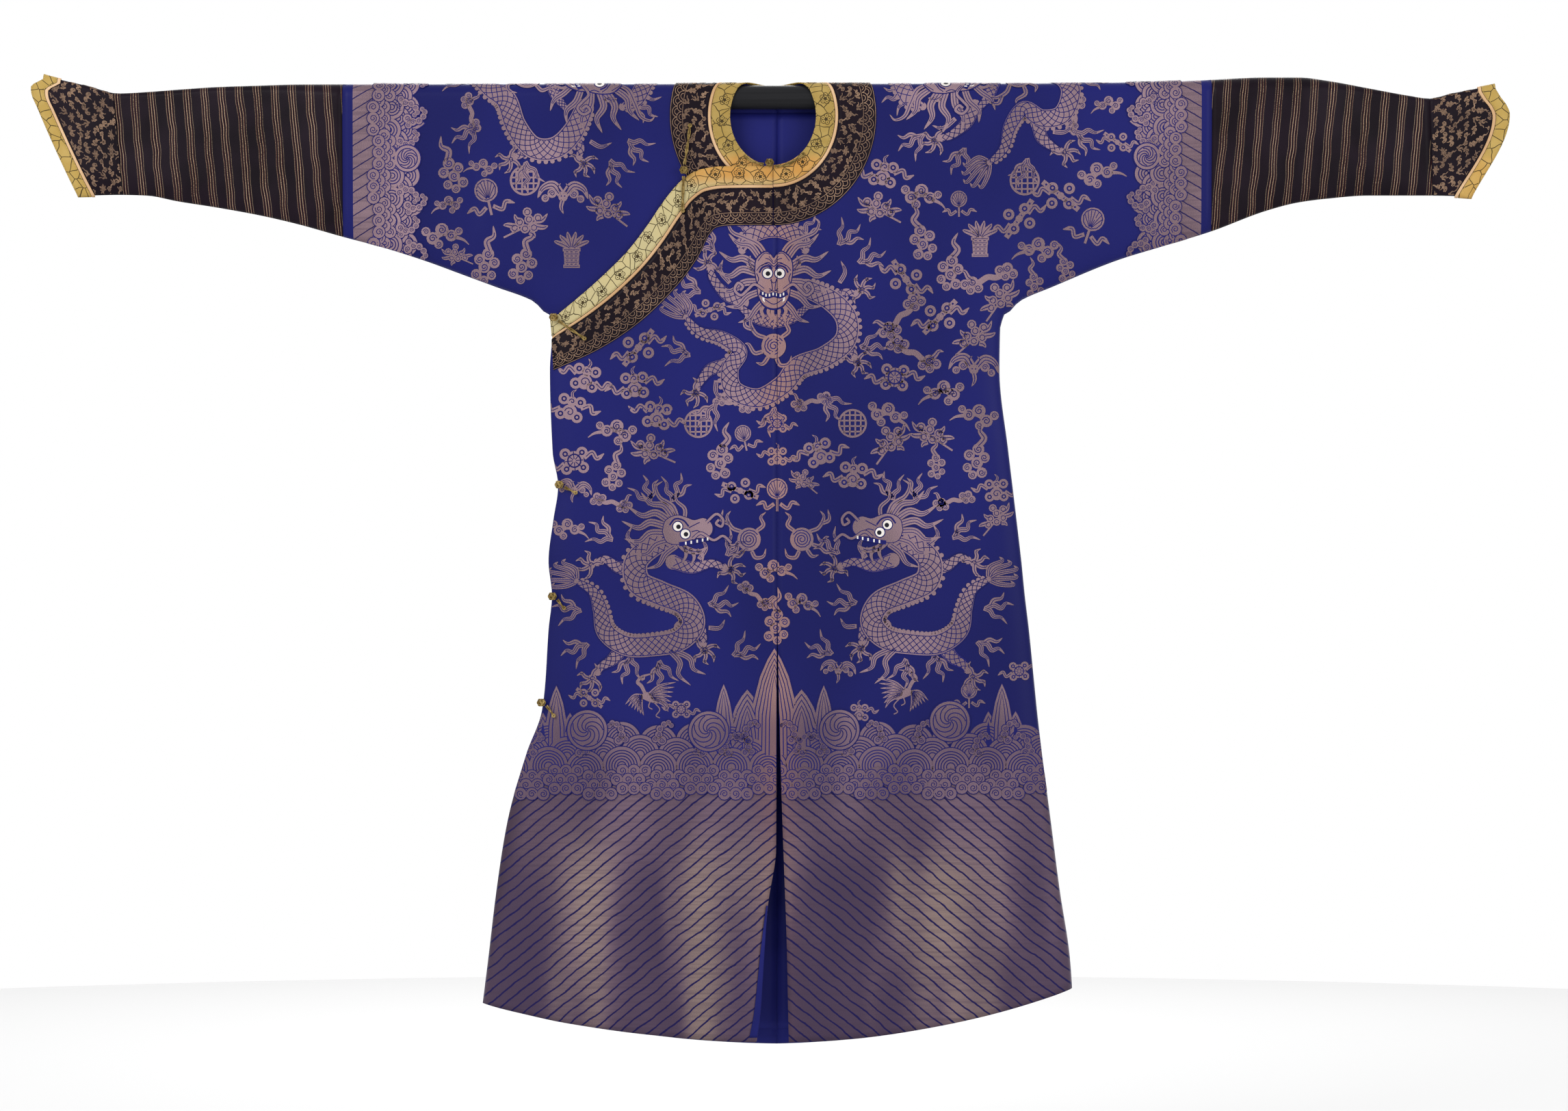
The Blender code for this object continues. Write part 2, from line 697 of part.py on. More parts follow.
def slit_lining():
    """The lining that turns out along the slit's left edge, wider towards the hem."""
    columns = [[], []]
    for i in range(TURN_ROWS + 1):
        z = mix(TURN_FOOT, TURN_TOP, i / TURN_ROWS)
        edge = SLIT.read("left", z)
        width = mix(TURN_FOOT_WIDTH, TURN_TOP_WIDTH, i / TURN_ROWS)
        columns[0].append(on_sheet(edge - width, z, "outer"))
        columns[1].append(on_sheet(edge - TURN_EDGE, z, "outer"))
    return sheet_object("slit_lining", [columns], LINING_WALL, LINING, TURN_LAY)


slit_lining()


# ---------------------------------------------------------------- knots and loops

ON_TRIM = LAY_GAP + PIPING_WALL + SEAM      # clear height over the edging, piping and band
ON_SIDE = 3.5                               # and over the side edge, which curves away


def lifted(x, z, face, lift):
    point = on_sheet(x, z, face)
    point.y -= lift
    return point


def knot(name, x, z, lift):
    centre = lifted(x, z, "outer", lift + KNOT_RADIUS) * MM
    bpy.ops.mesh.primitive_uv_sphere_add(segments=12, ring_count=8, radius=KNOT_RADIUS * MM,
                                         location=centre)
    ball = bpy.context.active_object
    ball.name = name
    ball.data.name = name
    ball.data.materials.append(CORD)
    ball.data.shade_smooth()
    move_to_parts(ball)


def loop(name, route, face, lift):
    """A flat cord loop, drawn as one cord along its route of (x, z) places on the cloth."""
    curve = bpy.data.curves.new(name, "CURVE")
    curve.dimensions = "3D"
    curve.bevel_depth = CORD_RADIUS * MM
    curve.bevel_resolution = 2
    curve.use_fill_caps = True
    spline = curve.splines.new("POLY")
    spline.points.add(len(route) - 1)
    for point, (x, z) in zip(spline.points, route):
        point.co = (*(lifted(x, z, face, lift + CORD_RADIUS) * MM), 1.0)
    cord = bpy.data.objects.new(name, curve)
    curve.materials.append(CORD)
    PARTS.objects.link(cord)


knot("knot_neck", -11.0, -97.0, ON_TRIM)
knot("knot_corner", -136.0, -108.0, ON_TRIM + 1.0)
knot("knot_underarm", -326.0, -322.0, ON_TRIM + 1.0)
knot("knot_side_1", -318.0, -566.0, ON_SIDE)
knot("knot_side_2", -328.0, -729.0, ON_SIDE)
knot("knot_side_3", -344.0, -884.0, ON_SIDE)

loop("loop_neck_left", [(-19.5, -99.5), (-28.0, -97.5), (-37.0, -94.0), (-46.0, -88.0)], "outer", ON_TRIM)
loop("loop_neck_right", [(-2.5, -102.5), (10.0, -101.0), (24.0, -95.0), (38.0, -85.0)], "outer", ON_TRIM)
loop("loop_corner_up", [(-135.0, -99.5), (-132.0, -80.0), (-129.0, -60.0), (-127.0, -43.0)], "outer", ON_TRIM)
loop("loop_corner_down", [(-136.5, -116.5), (-137.0, -132.0), (-137.5, -150.0), (-137.5, -167.0)],
     "outer", ON_TRIM)
loop("loop_underarm", [(-319.0, -327.0), (-305.0, -337.0), (-292.0, -345.5), (-281.0, -353.0)],
     "outer", ON_TRIM)
loop("loop_side_1", [(-310.0, -570.0), (-302.0, -574.0), (-294.0, -578.0)], "outer", ON_SIDE)
loop("loop_side_2", [(-320.5, -734.0), (-316.0, -740.0), (-311.0, -746.0)], "outer", ON_SIDE)
loop("loop_side_3", [(-336.5, -889.0), (-331.0, -896.0), (-326.0, -903.0)], "outer", ON_SIDE)


# ---------------------------------------------------------------- the rod

bpy.ops.mesh.primitive_cylinder_add(
    vertices=48, radius=ROD_RADIUS * MM, depth=(ROD_RIGHT_END - ROD_LEFT_END) * MM,
    location=((ROD_LEFT_END + ROD_RIGHT_END) / 2 * MM, 0.0, 0.0), rotation=(0.0, math.pi / 2, 0.0))
rod = bpy.context.active_object
rod.name = "rod"
rod.data.name = "rod"
rod.data.materials.append(ROD)
move_to_parts(rod)
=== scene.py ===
import math

import bpy
import numpy as np
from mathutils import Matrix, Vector


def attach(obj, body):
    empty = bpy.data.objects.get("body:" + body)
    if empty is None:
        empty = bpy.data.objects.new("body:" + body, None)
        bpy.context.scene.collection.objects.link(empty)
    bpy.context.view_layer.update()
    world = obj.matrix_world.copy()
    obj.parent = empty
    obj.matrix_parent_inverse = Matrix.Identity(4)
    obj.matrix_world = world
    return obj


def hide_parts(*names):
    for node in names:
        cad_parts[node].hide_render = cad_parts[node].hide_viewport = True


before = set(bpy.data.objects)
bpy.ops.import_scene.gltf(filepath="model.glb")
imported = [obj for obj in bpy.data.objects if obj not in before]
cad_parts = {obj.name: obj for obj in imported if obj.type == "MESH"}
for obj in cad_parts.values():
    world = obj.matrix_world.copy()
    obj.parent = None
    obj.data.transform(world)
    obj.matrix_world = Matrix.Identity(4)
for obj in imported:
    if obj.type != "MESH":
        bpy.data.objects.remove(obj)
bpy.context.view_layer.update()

# ============================================================ the hung cloth's form
# The robe hangs flat, folded over a round rod that runs through both sleeves.  Every piece follows
# this one form.  A place of the flat cloth is (x, s) in millimetres: s runs down the front from the
# top of the shoulder fold, and down the back where it is negative.


class Table:
    """Rows of sizes with named columns, read smoothly by the first column."""

    def __init__(self, names, *rows):
        rows = np.array(rows, float)
        self.places = rows[:, 0]
        gaps = np.diff(self.places)
        self.columns = {}
        for name, values in zip(names.split()[1:], rows[:, 1:].T):
            rises = np.diff(values) / gaps
            before, after = rises[:-1], rises[1:]
            both = before * after > 0.0
            inner = np.where(both, 2.0 * before * after / np.where(both, before + after, 1.0), 0.0)
            self.columns[name] = values, np.concatenate((rises[:1], inner, rises[-1:]))

    def read(self, name, place):
        values, slopes = self.columns[name]
        place = np.clip(place, self.places[0], self.places[-1])
        i = np.clip(np.searchsorted(self.places, place, side="right") - 1, 0, len(self.places) - 2)
        width = self.places[i + 1] - self.places[i]
        t = (place - self.places[i]) / width
        return ((2 * t**3 - 3 * t**2 + 1) * values[i] + (t**3 - 2 * t**2 + t) * slopes[i] * width
                + (3 * t**2 - 2 * t**3) * values[i + 1] + (t**3 - t**2) * slopes[i + 1] * width)


ACROSS = Table(
    "x      top   under   fold  low",
    (-1092, 38.0, -145.0, 6.0, 6.5), (-1072, 32.5, -144.5, 6.0, 6.5), (-1045, 25.5, -144.0, 6.0, 6.5),
    (-1008, 17.0, -143.5, 6.5, 7.0), (-962, 6.0, -142.5, 7.0, 7.0), (-922, 8.0, -143.5, 7.5, 7.5),
    (-876, 11.5, -152.0, 8.5, 8.0), (-816, 15.5, -161.5, 9.5, 8.5), (-756, 17.5, -172.5, 11.0, 9.0),
    (-700, 19.2, -185.5, 14.5, 9.5), (-636, 19.4, -203.5, 19.5, 10.0), (-576, 19.4, -219.5, 19.5, 10.5),
    (-516, 19.4, -238.5, 19.5, 11.0), (-456, 19.5, -260.5, 19.5, 12.0), (-410, 19.5, -277.5, 19.5, 12.5),
    (-357, 19.6, -297.5, 19.5, 13.5), (-333, 19.6, -317.5, 19.5, 14.0), (0, 20.0, -317.5, 19.5, 14.0),
    (332, 20.5, -317.5, 19.5, 14.0), (355, 20.5, -297.5, 19.5, 13.5), (401, 21.0, -277.5, 19.5, 12.5),
    (499, 22.0, -237.5, 19.5, 12.0), (564, 23.0, -217.5, 19.5, 11.0), (634, 26.0, -196.0, 19.5, 10.0),
    (714, 29.5, -166.0, 19.5, 9.0), (762, 29.5, -153.5, 19.5, 9.0), (804, 24.5, -148.0, 15.0, 8.5),
    (864, 13.5, -143.5, 9.0, 8.0), (924, 2.5, -143.5, 7.5, 7.5), (953, -1.5, -143.5, 7.0, 7.0),
    (984, 5.5, -144.0, 6.5, 6.5), (1014, 11.5, -146.0, 6.0, 6.5), (1049, 18.5, -147.0, 6.0, 6.5),
    (1072, 22.0, -148.0, 6.0, 6.5))
DOWN = Table(
    "z      left    right   front  back",
    (-1330, -431.0, 433.0, 23.0, 22.0), (-1258, -422.0, 428.0, 21.0, 20.0),
    (-1158, -410.0, 413.0, 18.5, 17.5), (-1058, -394.0, 400.0, 16.5, 16.0),
    (-958, -366.0, 387.0, 15.0, 14.5), (-898, -344.0, 380.0, 14.5, 14.0),
    (-858, -339.0, 376.0, 14.0, 13.5), (-778, -334.0, 368.0, 13.5, 13.0),
    (-728, -329.0, 362.0, 13.3, 13.0), (-678, -334.0, 357.0, 13.2, 13.0),
    (-618, -327.0, 350.0, 13.0, 13.0), (-568, -320.0, 344.0, 13.0, 13.0),
    (-518, -328.0, 338.0, 13.2, 13.0), (-398, -332.0, 325.0, 13.6, 13.6),
    (-338, -328.0, 326.0, 13.9, 13.9), (-317.5, -333.0, 332.0, 14.0, 14.0))
SLIT = Table(
    "z      left   right",
    (-1380, -30.0, 17.0), (-1336, -24.0, 16.0), (-1238, -18.0, 14.0), (-1177, -13.0, 12.0),
    (-1097, -1.5, 9.0), (-870, -0.6, 2.0), (-728, 0.0, 0.0), (-600, 0.0, 0.0))
OVERLAP = Table(
    "step edge_x  edge_z  outer_x outer_z",
    (0, -6.3, -101.5, -6.3, -187.5), (1, -42.0, -101.5, -38.0, -187.5), (2, -80.0, -102.0, -68.0, -188.0),
    (3, -112.0, -106.5, -88.0, -191.0), (4, -137.0, -120.5, -100.0, -203.0),
    (5, -162.0, -148.0, -112.0, -228.0), (6, -188.0, -186.0, -130.0, -256.0),
    (7, -217.0, -224.0, -158.0, -289.0), (8, -256.0, -263.0, -203.0, -331.0),
    (9, -290.0, -293.0, -257.0, -367.0), (10, -340.0, -334.0, -342.0, -406.0))
HOOF = Table(
    "share  left     right",
    (0.00, -1072.0, 1049.0), (0.10, -1090.0, 1058.0), (0.15, -1089.0, 1064.0), (0.25, -1081.0, 1070.0),
    (1.00, -1022.0, 1015.0))

UNDERARM, HEM_CENTRE, HEM_REACH = -317.5, -1379.0, 430.0
HEM_RISES = {-1: 56.0, 1: 77.0}
BACK_HEM_DROP = 6.0
SLEEVE_SEAM = 634.0
SEAM = 0.3
NECK_CUT, NECK_NEAR = 5.0, 8.0      # how far outside the neck's edge a half is cut, and is smoothed
WELD = 0.00002
SIDE_ROUND = 42.0
WALL = 1.2

# Broad folds and creases: a line from start to end, its half width and how far the cloth stands out along it.
# Each fades at both ends, except the folds that run off the hem.
FRONT_FOLDS = (
    (-330, -930, -322, -1400, 30, 6.0), (-250, -960, -300, -1400, 60, 3.5),
    (-150, -1000, -170, -1400, 45, -3.5), (-60, -1050, -75, -1400, 40, 3.5),
    (90, -1000, 110, -1400, 45, 4.0), (190, -1000, 220, -1400, 45, -3.0), (300, -960, 340, -1400, 50, 3.5))
BACK_FOLDS = (
    (-260, -940, -300, -1400, 55, 4.0), (-120, -980, -140, -1400, 50, -3.5),
    (40, -960, 50, -1400, 55, 4.0), (170, -1000, 200, -1400, 45, -3.0), (290, -960, 330, -1400, 50, 4.0))
CREASES = (
    (-330, -452, -30, -460, 7, -0.9), (30, -459, 330, -452, 7, -0.9),
    (-330, -534, -20, -540, 6, 0.8), (20, -539, 340, -534, 6, 0.8),
    (-439, -92, -444, -205, 9, -1.6), (-424, -60, -430, -250, 14, 1.2),
    (-560, -40, -500, -215, 16, 1.1), (440, -70, 470, -230, 12, -1.3), (500, -40, 540, -215, 16, 1.1),
    (-395, -60, -300, -200, 20, 1.4), (-380, -150, -300, -270, 16, -1.5),
    (380, -120, 300, -290, 18, 1.5), (410, -150, 335, -270, 14, -1.5),
    (-700, -20, -655, -190, 14, 1.2), (-780, -10, -730, -165, 12, -1.1), (-860, -10, -820, -150, 10, 1.0),
    (-925, -10, -880, -140, 9, -0.9),
    (680, -10, 735, -160, 14, 1.2), (760, -5, 790, -140, 12, -1.3), (840, -5, 870, -135, 10, 1.1),
    (905, -15, 935, -140, 9, -1.0),
    (-318, -420, -322, -880, 12, -1.2), (-270, -600, -285, -860, 18, 0.9), (300, -420, 318, -900, 14, -1.0),
    (6, -200, 4, -700, 7, -0.8), (-40, -960, -52, -1340, 9, -1.6), (-20, -1180, -46, -1400, 8, 2.6),
    (40, -1000, 56, -1380, 10, -1.4), (150, -1050, 170, -1390, 14, 1.1), (250, -1040, 285, -1360, 14, -1.3),
    (-205, -1060, -230, -1390, 14, 1.2), (-380, -1010, -398, -1330, 13, -1.8),
    (395, -1060, 415, -1340, 12, 1.6))


def soft_step(value):
    value = np.clip(value, 0.0, 1.0)
    return value * value * (3.0 - 2.0 * value)


def mix(start, end, share):
    return start + (end - start) * share


ARMPIT = {-1: float(DOWN.read("left", UNDERARM)), 1: float(DOWN.read("right", UNDERARM))}


def seam_line(side):
    sleeve = np.linspace(-1092.0 if side < 0 else 1072.0, ARMPIT[side], 41)[:-1]
    body = np.linspace(UNDERARM, -1400.0, 41)
    return np.concatenate((np.stack((sleeve, ACROSS.read("under", sleeve)), 1),
                           np.stack((DOWN.read("left" if side < 0 else "right", body), body), 1)))


SEAM_LINES = {side: seam_line(side) for side in (-1, 1)}


def seam_distance(x, z):
    """How far each place of the spread cloth lies from its side's seam."""
    x, z = np.broadcast_arrays(np.asarray(x, float), np.asarray(z, float))
    flat_x, flat_z = x.ravel(), z.ravel()
    best = np.full(flat_x.shape, np.inf)
    for side, line in SEAM_LINES.items():
        chosen = flat_x < 0.0 if side < 0 else flat_x >= 0.0
        here = np.stack((flat_x[chosen], flat_z[chosen]), 1)
        near = np.full(len(here), np.inf)
        for start, end in zip(line, line[1:]):
            run = end - start
            share = np.clip((here - start) @ run / (run @ run), 0.0, 1.0)
            near = np.minimum(near, np.hypot(*(here - start - share[:, None] * run).T))
        best[chosen] = near
    return best.reshape(x.shape)


def folds_at(x, z, rows):
    total = 0.0
    for top_x, top_z, foot_x, foot_z, width, height in rows:
        share = (z - top_z) / (foot_z - top_z)
        total = total + height * soft_step(share) * np.exp(-((x - mix(top_x, foot_x, share)) / width) ** 2)
    return total


def creases_at(x, z):
    total = 0.0
    for ax, az, bx, bz, width, height in CREASES:
        run = np.array((bx - ax, bz - az), float)
        length = math.hypot(*run)
        along = ((x - ax) * run[0] + (z - az) * run[1]) / length
        aside = ((x - ax) * run[1] - (z - az) * run[0]) / length
        aside = aside + 0.25 * width * np.sin(along / 40.0)
        fade = soft_step(along / (0.3 * length)) * soft_step((length - along) / (0.3 * length))
        total = total + height * fade * np.exp(-(aside / width) ** 2)
    return total


def half_depth(x, z, face):
    """How far the cloth's outer face stands from the middle plane, on the front of the right half,
    the back, the inner front or the outer front."""
    centre = ACROSS.read("top", x) - ACROSS.read("fold", x)
    floor = ACROSS.read("under", x)
    low = np.where(z < UNDERARM, DOWN.read("back" if face == "back" else "front", z), ACROSS.read("low", x))
    depth = mix(ACROSS.read("fold", x), low, soft_step((centre - z) / (centre - floor)))
    distance = seam_distance(x, z)
    rounded = np.sqrt(1.0 - (1.0 - np.minimum(distance / SIDE_ROUND, 1.0)) ** 2)
    depth = depth + folds_at(x, z, BACK_FOLDS if face == "back" else FRONT_FOLDS)
    if face == "inner":
        depth = depth - 4.0 * soft_step((-z - 10.0) / 70.0) * soft_step((x + 420.0) / 80.0)
    calm = soft_step((centre - z) / 60.0) * soft_step(distance / 30.0)
    if face == "back":
        depth = depth + 0.8 * creases_at(-x + 12.0, z + 9.0) * calm
    elif face != "inner":
        depth = depth + creases_at(x, z) * calm
    else:
        depth = depth + 0.5 * creases_at(x, z) * calm
    depth = depth * rounded
    if face == "outer":
        depth = np.hypot(depth, 5.0 * (1.0 - soft_step(distance / 120.0)))
    return depth


def fold_quarter(x):
    return ACROSS.read("fold", x) * math.pi / 2


def fall_to(x, s):
    """The height of a place of the cloth."""
    return ACROSS.read("top", x) - ACROSS.read("fold", x) - (np.abs(s) - fold_quarter(x))


def down_to(x, z):
    """How far down the flat cloth a height lies."""
    return fold_quarter(x) + ACROSS.read("top", x) - ACROSS.read("fold", x) - z


def on_cloth(x, s, face):
    """The points, in millimetres, of places of the flat cloth.  Below the fold, face is the front's."""
    x, s = np.broadcast_arrays(np.asarray(x, float), np.asarray(s, float))
    radius = ACROSS.read("fold", x)
    centre = ACROSS.read("top", x) - radius
    angle = np.clip(s / radius, -math.pi / 2, math.pi / 2)
    points = np.stack((x, -radius * np.sin(angle), centre + radius * np.cos(angle)), -1)
    z = fall_to(x, s)
    for down, sign, which in ((s > fold_quarter(x), -1.0, face), (s < -fold_quarter(x), 1.0, "back")):
        if down.any():
            points[down, 1] = sign * half_depth(x[down], z[down], which)
            points[down, 2] = z[down]
    return points


def off_cloth(x, s, lift, face):
    """Points moved off the cloth along its own normal."""
    step = 1.0
    points = on_cloth(x, s, face)
    along = on_cloth(x + step, s, face) - on_cloth(x - step, s, face)
    down = on_cloth(x, s + step, face) - on_cloth(x, s - step, face)
    normal = np.cross(down, along)
    normal /= np.linalg.norm(normal, axis=-1, keepdims=True)
    return points + normal * np.asarray(lift)[..., None]


# ---- meshes for cloth

def new_object(name, points, faces, uv, finishes, smooth=True, slots=None):
    """An object from points in millimetres, with the flat cloth's places, in metres, as its UV map."""
    mesh = bpy.data.meshes.new(name)
    mesh.from_pydata([tuple(p) for p in np.asarray(points) * 0.001], [], [tuple(f) for f in faces])
    corners = np.empty(len(mesh.loops), int)
    mesh.loops.foreach_get("vertex_index", corners)
    layer = mesh.uv_layers.new(name="cut")
    layer.data.foreach_set("uv", (np.asarray(uv)[corners] * 0.001).astype(np.float32).ravel())
    for finish in finishes:
        mesh.materials.append(finish)
    if slots is not None:
        mesh.polygons.foreach_set("material_index", np.asarray(slots, np.int32))
    if smooth:
        mesh.polygons.foreach_set("use_smooth", np.ones(len(mesh.polygons), bool))
    mesh.update()
    piece = bpy.data.objects.new(name, mesh)
    bpy.context.scene.collection.objects.link(piece)
    return piece


def grid_faces(columns, rows):
    """The faces of a grid whose columns run to +X and rows run up the front."""
    numbers = np.arange(columns * rows).reshape(columns, rows)
    corners = numbers[:-1, :-1], numbers[1:, :-1], numbers[1:, 1:], numbers[:-1, 1:]
    return np.stack(corners, -1).reshape(-1, 4)


def smooth_path(points, count):
    """A smooth path through points, by Catmull-Rom, at even parameters."""
    points = np.asarray(points, float)
    ends = np.concatenate((2 * points[:1] - points[1:2], points, 2 * points[-1:] - points[-2:-1]))
    t = np.linspace(0.0, len(points) - 1.0, count)
    i = np.minimum(t.astype(int), len(points) - 2)
    f = (t - i)[:, None]
    a, b, c, d = (ends[i + k] for k in range(4))
    return 0.5 * (2 * b + (c - a) * f + (2 * a - 5 * b + 4 * c - d) * f**2 + (3 * b - a - 3 * c + d) * f**3)


def settle(piece):
    """Replaces a piece's live modifiers by their result."""
    bpy.context.view_layer.update()
    made = bpy.data.meshes.new_from_object(piece.evaluated_get(bpy.context.evaluated_depsgraph_get()))
    piece.modifiers.clear()
    old, piece.data = piece.data, made
    made.name = piece.name
    bpy.data.meshes.remove(old)
    return piece


def walled(piece, wall, outwards=False, inner_slot=0):
    """Gives a piece its wall, inwards from the form or outwards for what lies on another piece."""
    thick = piece.modifiers.new("wall", "SOLIDIFY")
    thick.thickness = wall * 0.001
    thick.offset = 1.0 if outwards else -1.0
    thick.use_even_offset = True
    thick.material_offset = inner_slot
    thick.material_offset_rim = 0
    return settle(piece)


# ============================================================ finishes: how a material is written
# Every material is written in the same few words.  A Thread stands for a socket of its tree, and
# finish gives the shader together with the place on the cut cloth, in millimetres, and in space.

class Thread:
    """A socket of a material's tree.  Arithmetic on it adds the Math nodes."""

    def __init__(self, tree, socket):
        self.tree, self.socket = tree, socket

    def node(self, kind, settings, inputs, output=0):
        """Any node, by its type, its settings and the values or links of its sockets."""
        made = self.tree.nodes.new("ShaderNode" + kind)
        for name, value in settings.items():
            if name == "stops":
                ramp = made.color_ramp.elements
                while len(ramp) < len(value):
                    ramp.new(0.5)
                for stop, (place, colour) in zip(ramp, value):
                    stop.position, stop.color = place, (*colour, 1.0)
            else:
                setattr(made, name, value)
        for name, value in inputs.items():
            if isinstance(value, Thread):
                self.tree.links.new(value.socket, made.inputs[name])
            else:
                made.inputs[name].default_value = value
        return Thread(self.tree, made.outputs[output])

    def maths(self, operation, *others):
        return self.node("Math", {"operation": operation}, dict(enumerate((self, *others))))

    def __add__(self, other):
        return self.maths("ADD", other)

    def __sub__(self, other):
        return self.maths("SUBTRACT", other)

    def __rsub__(self, other):
        return (self * -1.0) + other

    def __mul__(self, other):
        return self.maths("MULTIPLY", other)

    def __truediv__(self, other):
        return self.maths("DIVIDE", other)

    __radd__, __rmul__ = __add__, __mul__

    def step(self, start, end):
        """0 where the value is start and 1 where it is end, with a soft ramp between."""
        return self.node("MapRange", {"interpolation_type": "SMOOTHSTEP", "clamp": True},
                         {"Value": self, "From Min": start, "From Max": end, "To Min": 0.0, "To Max": 1.0})

    def lines(self, pitch, width, blur=0.35):
        """1 on lines of a width, one at each pitch of the value."""
        apart = (self / pitch).maths("FRACT") - 0.5
        return (apart.maths("ABSOLUTE") * pitch).step(width / 2 + blur / 2, width / 2 - blur / 2)

    def colours(self, from_colour, to_colour):
        """The mix of two colours by this mask."""
        ends = {6: from_colour, 7: to_colour}
        for i, colour in ends.items():
            ends[i] = colour if isinstance(colour, Thread) else (*colour, 1.0)
        return self.node("Mix", {"data_type": "RGBA"}, {0: self, **ends}, 2)


def finish(name, roughness, metallic=0.0, sheen=0.0, sheen_tint=(1.0, 1.0, 1.0), anisotropic=0.0):
    """A new material, with its tree's place on the cut cloth in millimetres and in space."""
    made = bpy.data.materials.new(name)
    made.use_nodes = True
    shader = made.node_tree.nodes["Principled BSDF"]
    shader.inputs["Roughness"].default_value = roughness
    shader.inputs["Metallic"].default_value = metallic
    shader.inputs["Sheen Weight"].default_value = sheen
    shader.inputs["Sheen Roughness"].default_value = 0.35
    shader.inputs["Sheen Tint"].default_value = (*sheen_tint, 1.0)
    shader.inputs["Anisotropic"].default_value = anisotropic
    shader.inputs["Specular IOR Level"].default_value = 0.08
    place = Thread(made.node_tree, None)
    cut = place.node("UVMap", {"uv_map": "cut"}, {})
    across, down = (place.node("SeparateXYZ", {}, {0: cut}, k) * 1000.0 for k in (0, 1))
    space = Thread(made.node_tree, place.node("TexCoord", {}, {}).socket.node.outputs["Object"])
    return made, shader, across, down, space, cut


def stretched(place, by):
    return place.node("VectorMath", {"operation": "MULTIPLY"}, {0: place, 1: by})


def noise(place, by, detail, rough):
    """Noise over a place that is stretched along each axis."""
    return place.node("TexNoise", {"noise_dimensions": "3D"},
                      {"Vector": stretched(place, by), "Scale": 1.0, "Detail": detail, "Roughness": rough})


def wear(shader, colour, height=None, strength=0.3, distance=0.0003, roughness=None, metallic=None):
    """Links a finish's colour, its bump and what varies of its gloss."""
    tree = colour.tree
    tree.links.new(colour.socket, shader.inputs["Base Color"])
    if height is not None:
        bump = colour.node("Bump", {}, {"Height": height, "Strength": strength, "Distance": distance})
        tree.links.new(bump.socket, shader.inputs["Normal"])
    for name, value in (("Roughness", roughness), ("Metallic", metallic)):
        if value is not None:
            tree.links.new(value.socket, shader.inputs[name])


# ============================================================ figured satin: the robe's main cloth
# Royal blue silk satin, woven in one piece with its figures in flat gold thread.  Below the waves and
# at the sleeve ends the gold covers the ground, and thin blue lines slant through it.

BLUE = (0.0080, 0.0095, 0.100)
PAINTED_SHADE_BLUE = (0.0048, 0.0058, 0.062)
LINE_BLUE = (0.011, 0.009, 0.062)
PAINTED_GLINT_GOLD = (0.430, 0.300, 0.290)
GOLD_MAUVE = (0.075, 0.046, 0.072)
GOLD_COPPER = (0.215, 0.105, 0.098)
SKIRT_WATER = 1019.0      # the standing water starts this far down the cloth
SLEEVE_WATER = 575.0      # and this far out along the sleeve
SLEEVE_PLAIN = 619.0      # beyond it the loom width's plain blue edge shows


def thread_grain(cut):
    """The glitter of flat gold thread: short streaks along the weft, which give its grain and the pale glints
    painted on it.
    """
    fine = noise(cut, (900.0, 2600.0, 1.0), 2.0, 0.7)
    return fine.step(0.36, 0.72)


def gold_cloth(space, cut, across):
    """The colour of gold thread on the blue ground: coppery by the centre seam, paler in patches."""
    patches = noise(space, (7.0, 7.0, 3.0), 2.0, 0.5).step(0.38, 0.66)
    grain = thread_grain(cut)
    warm = across.maths("ABSOLUTE").step(46.0, 4.0)
    base = patches.colours(GOLD_MAUVE, (0.190, 0.122, 0.160))
    base = (warm * 0.75).colours(base, GOLD_COPPER)
    # the gold is darker, with fewer painted glints, from 0.86 m to 0.93 m down and below, where the sea is
    dull = space.node("SeparateXYZ", {}, {0: space}, 2).step(-0.86, -0.93)
    base = (dull * 0.45).colours(base, (0.050, 0.034, 0.070))
    # the thread's grain paints pale glints on the gold
    return (grain * (0.60 - dull * 0.40)).colours(base, PAINTED_GLINT_GOLD), grain


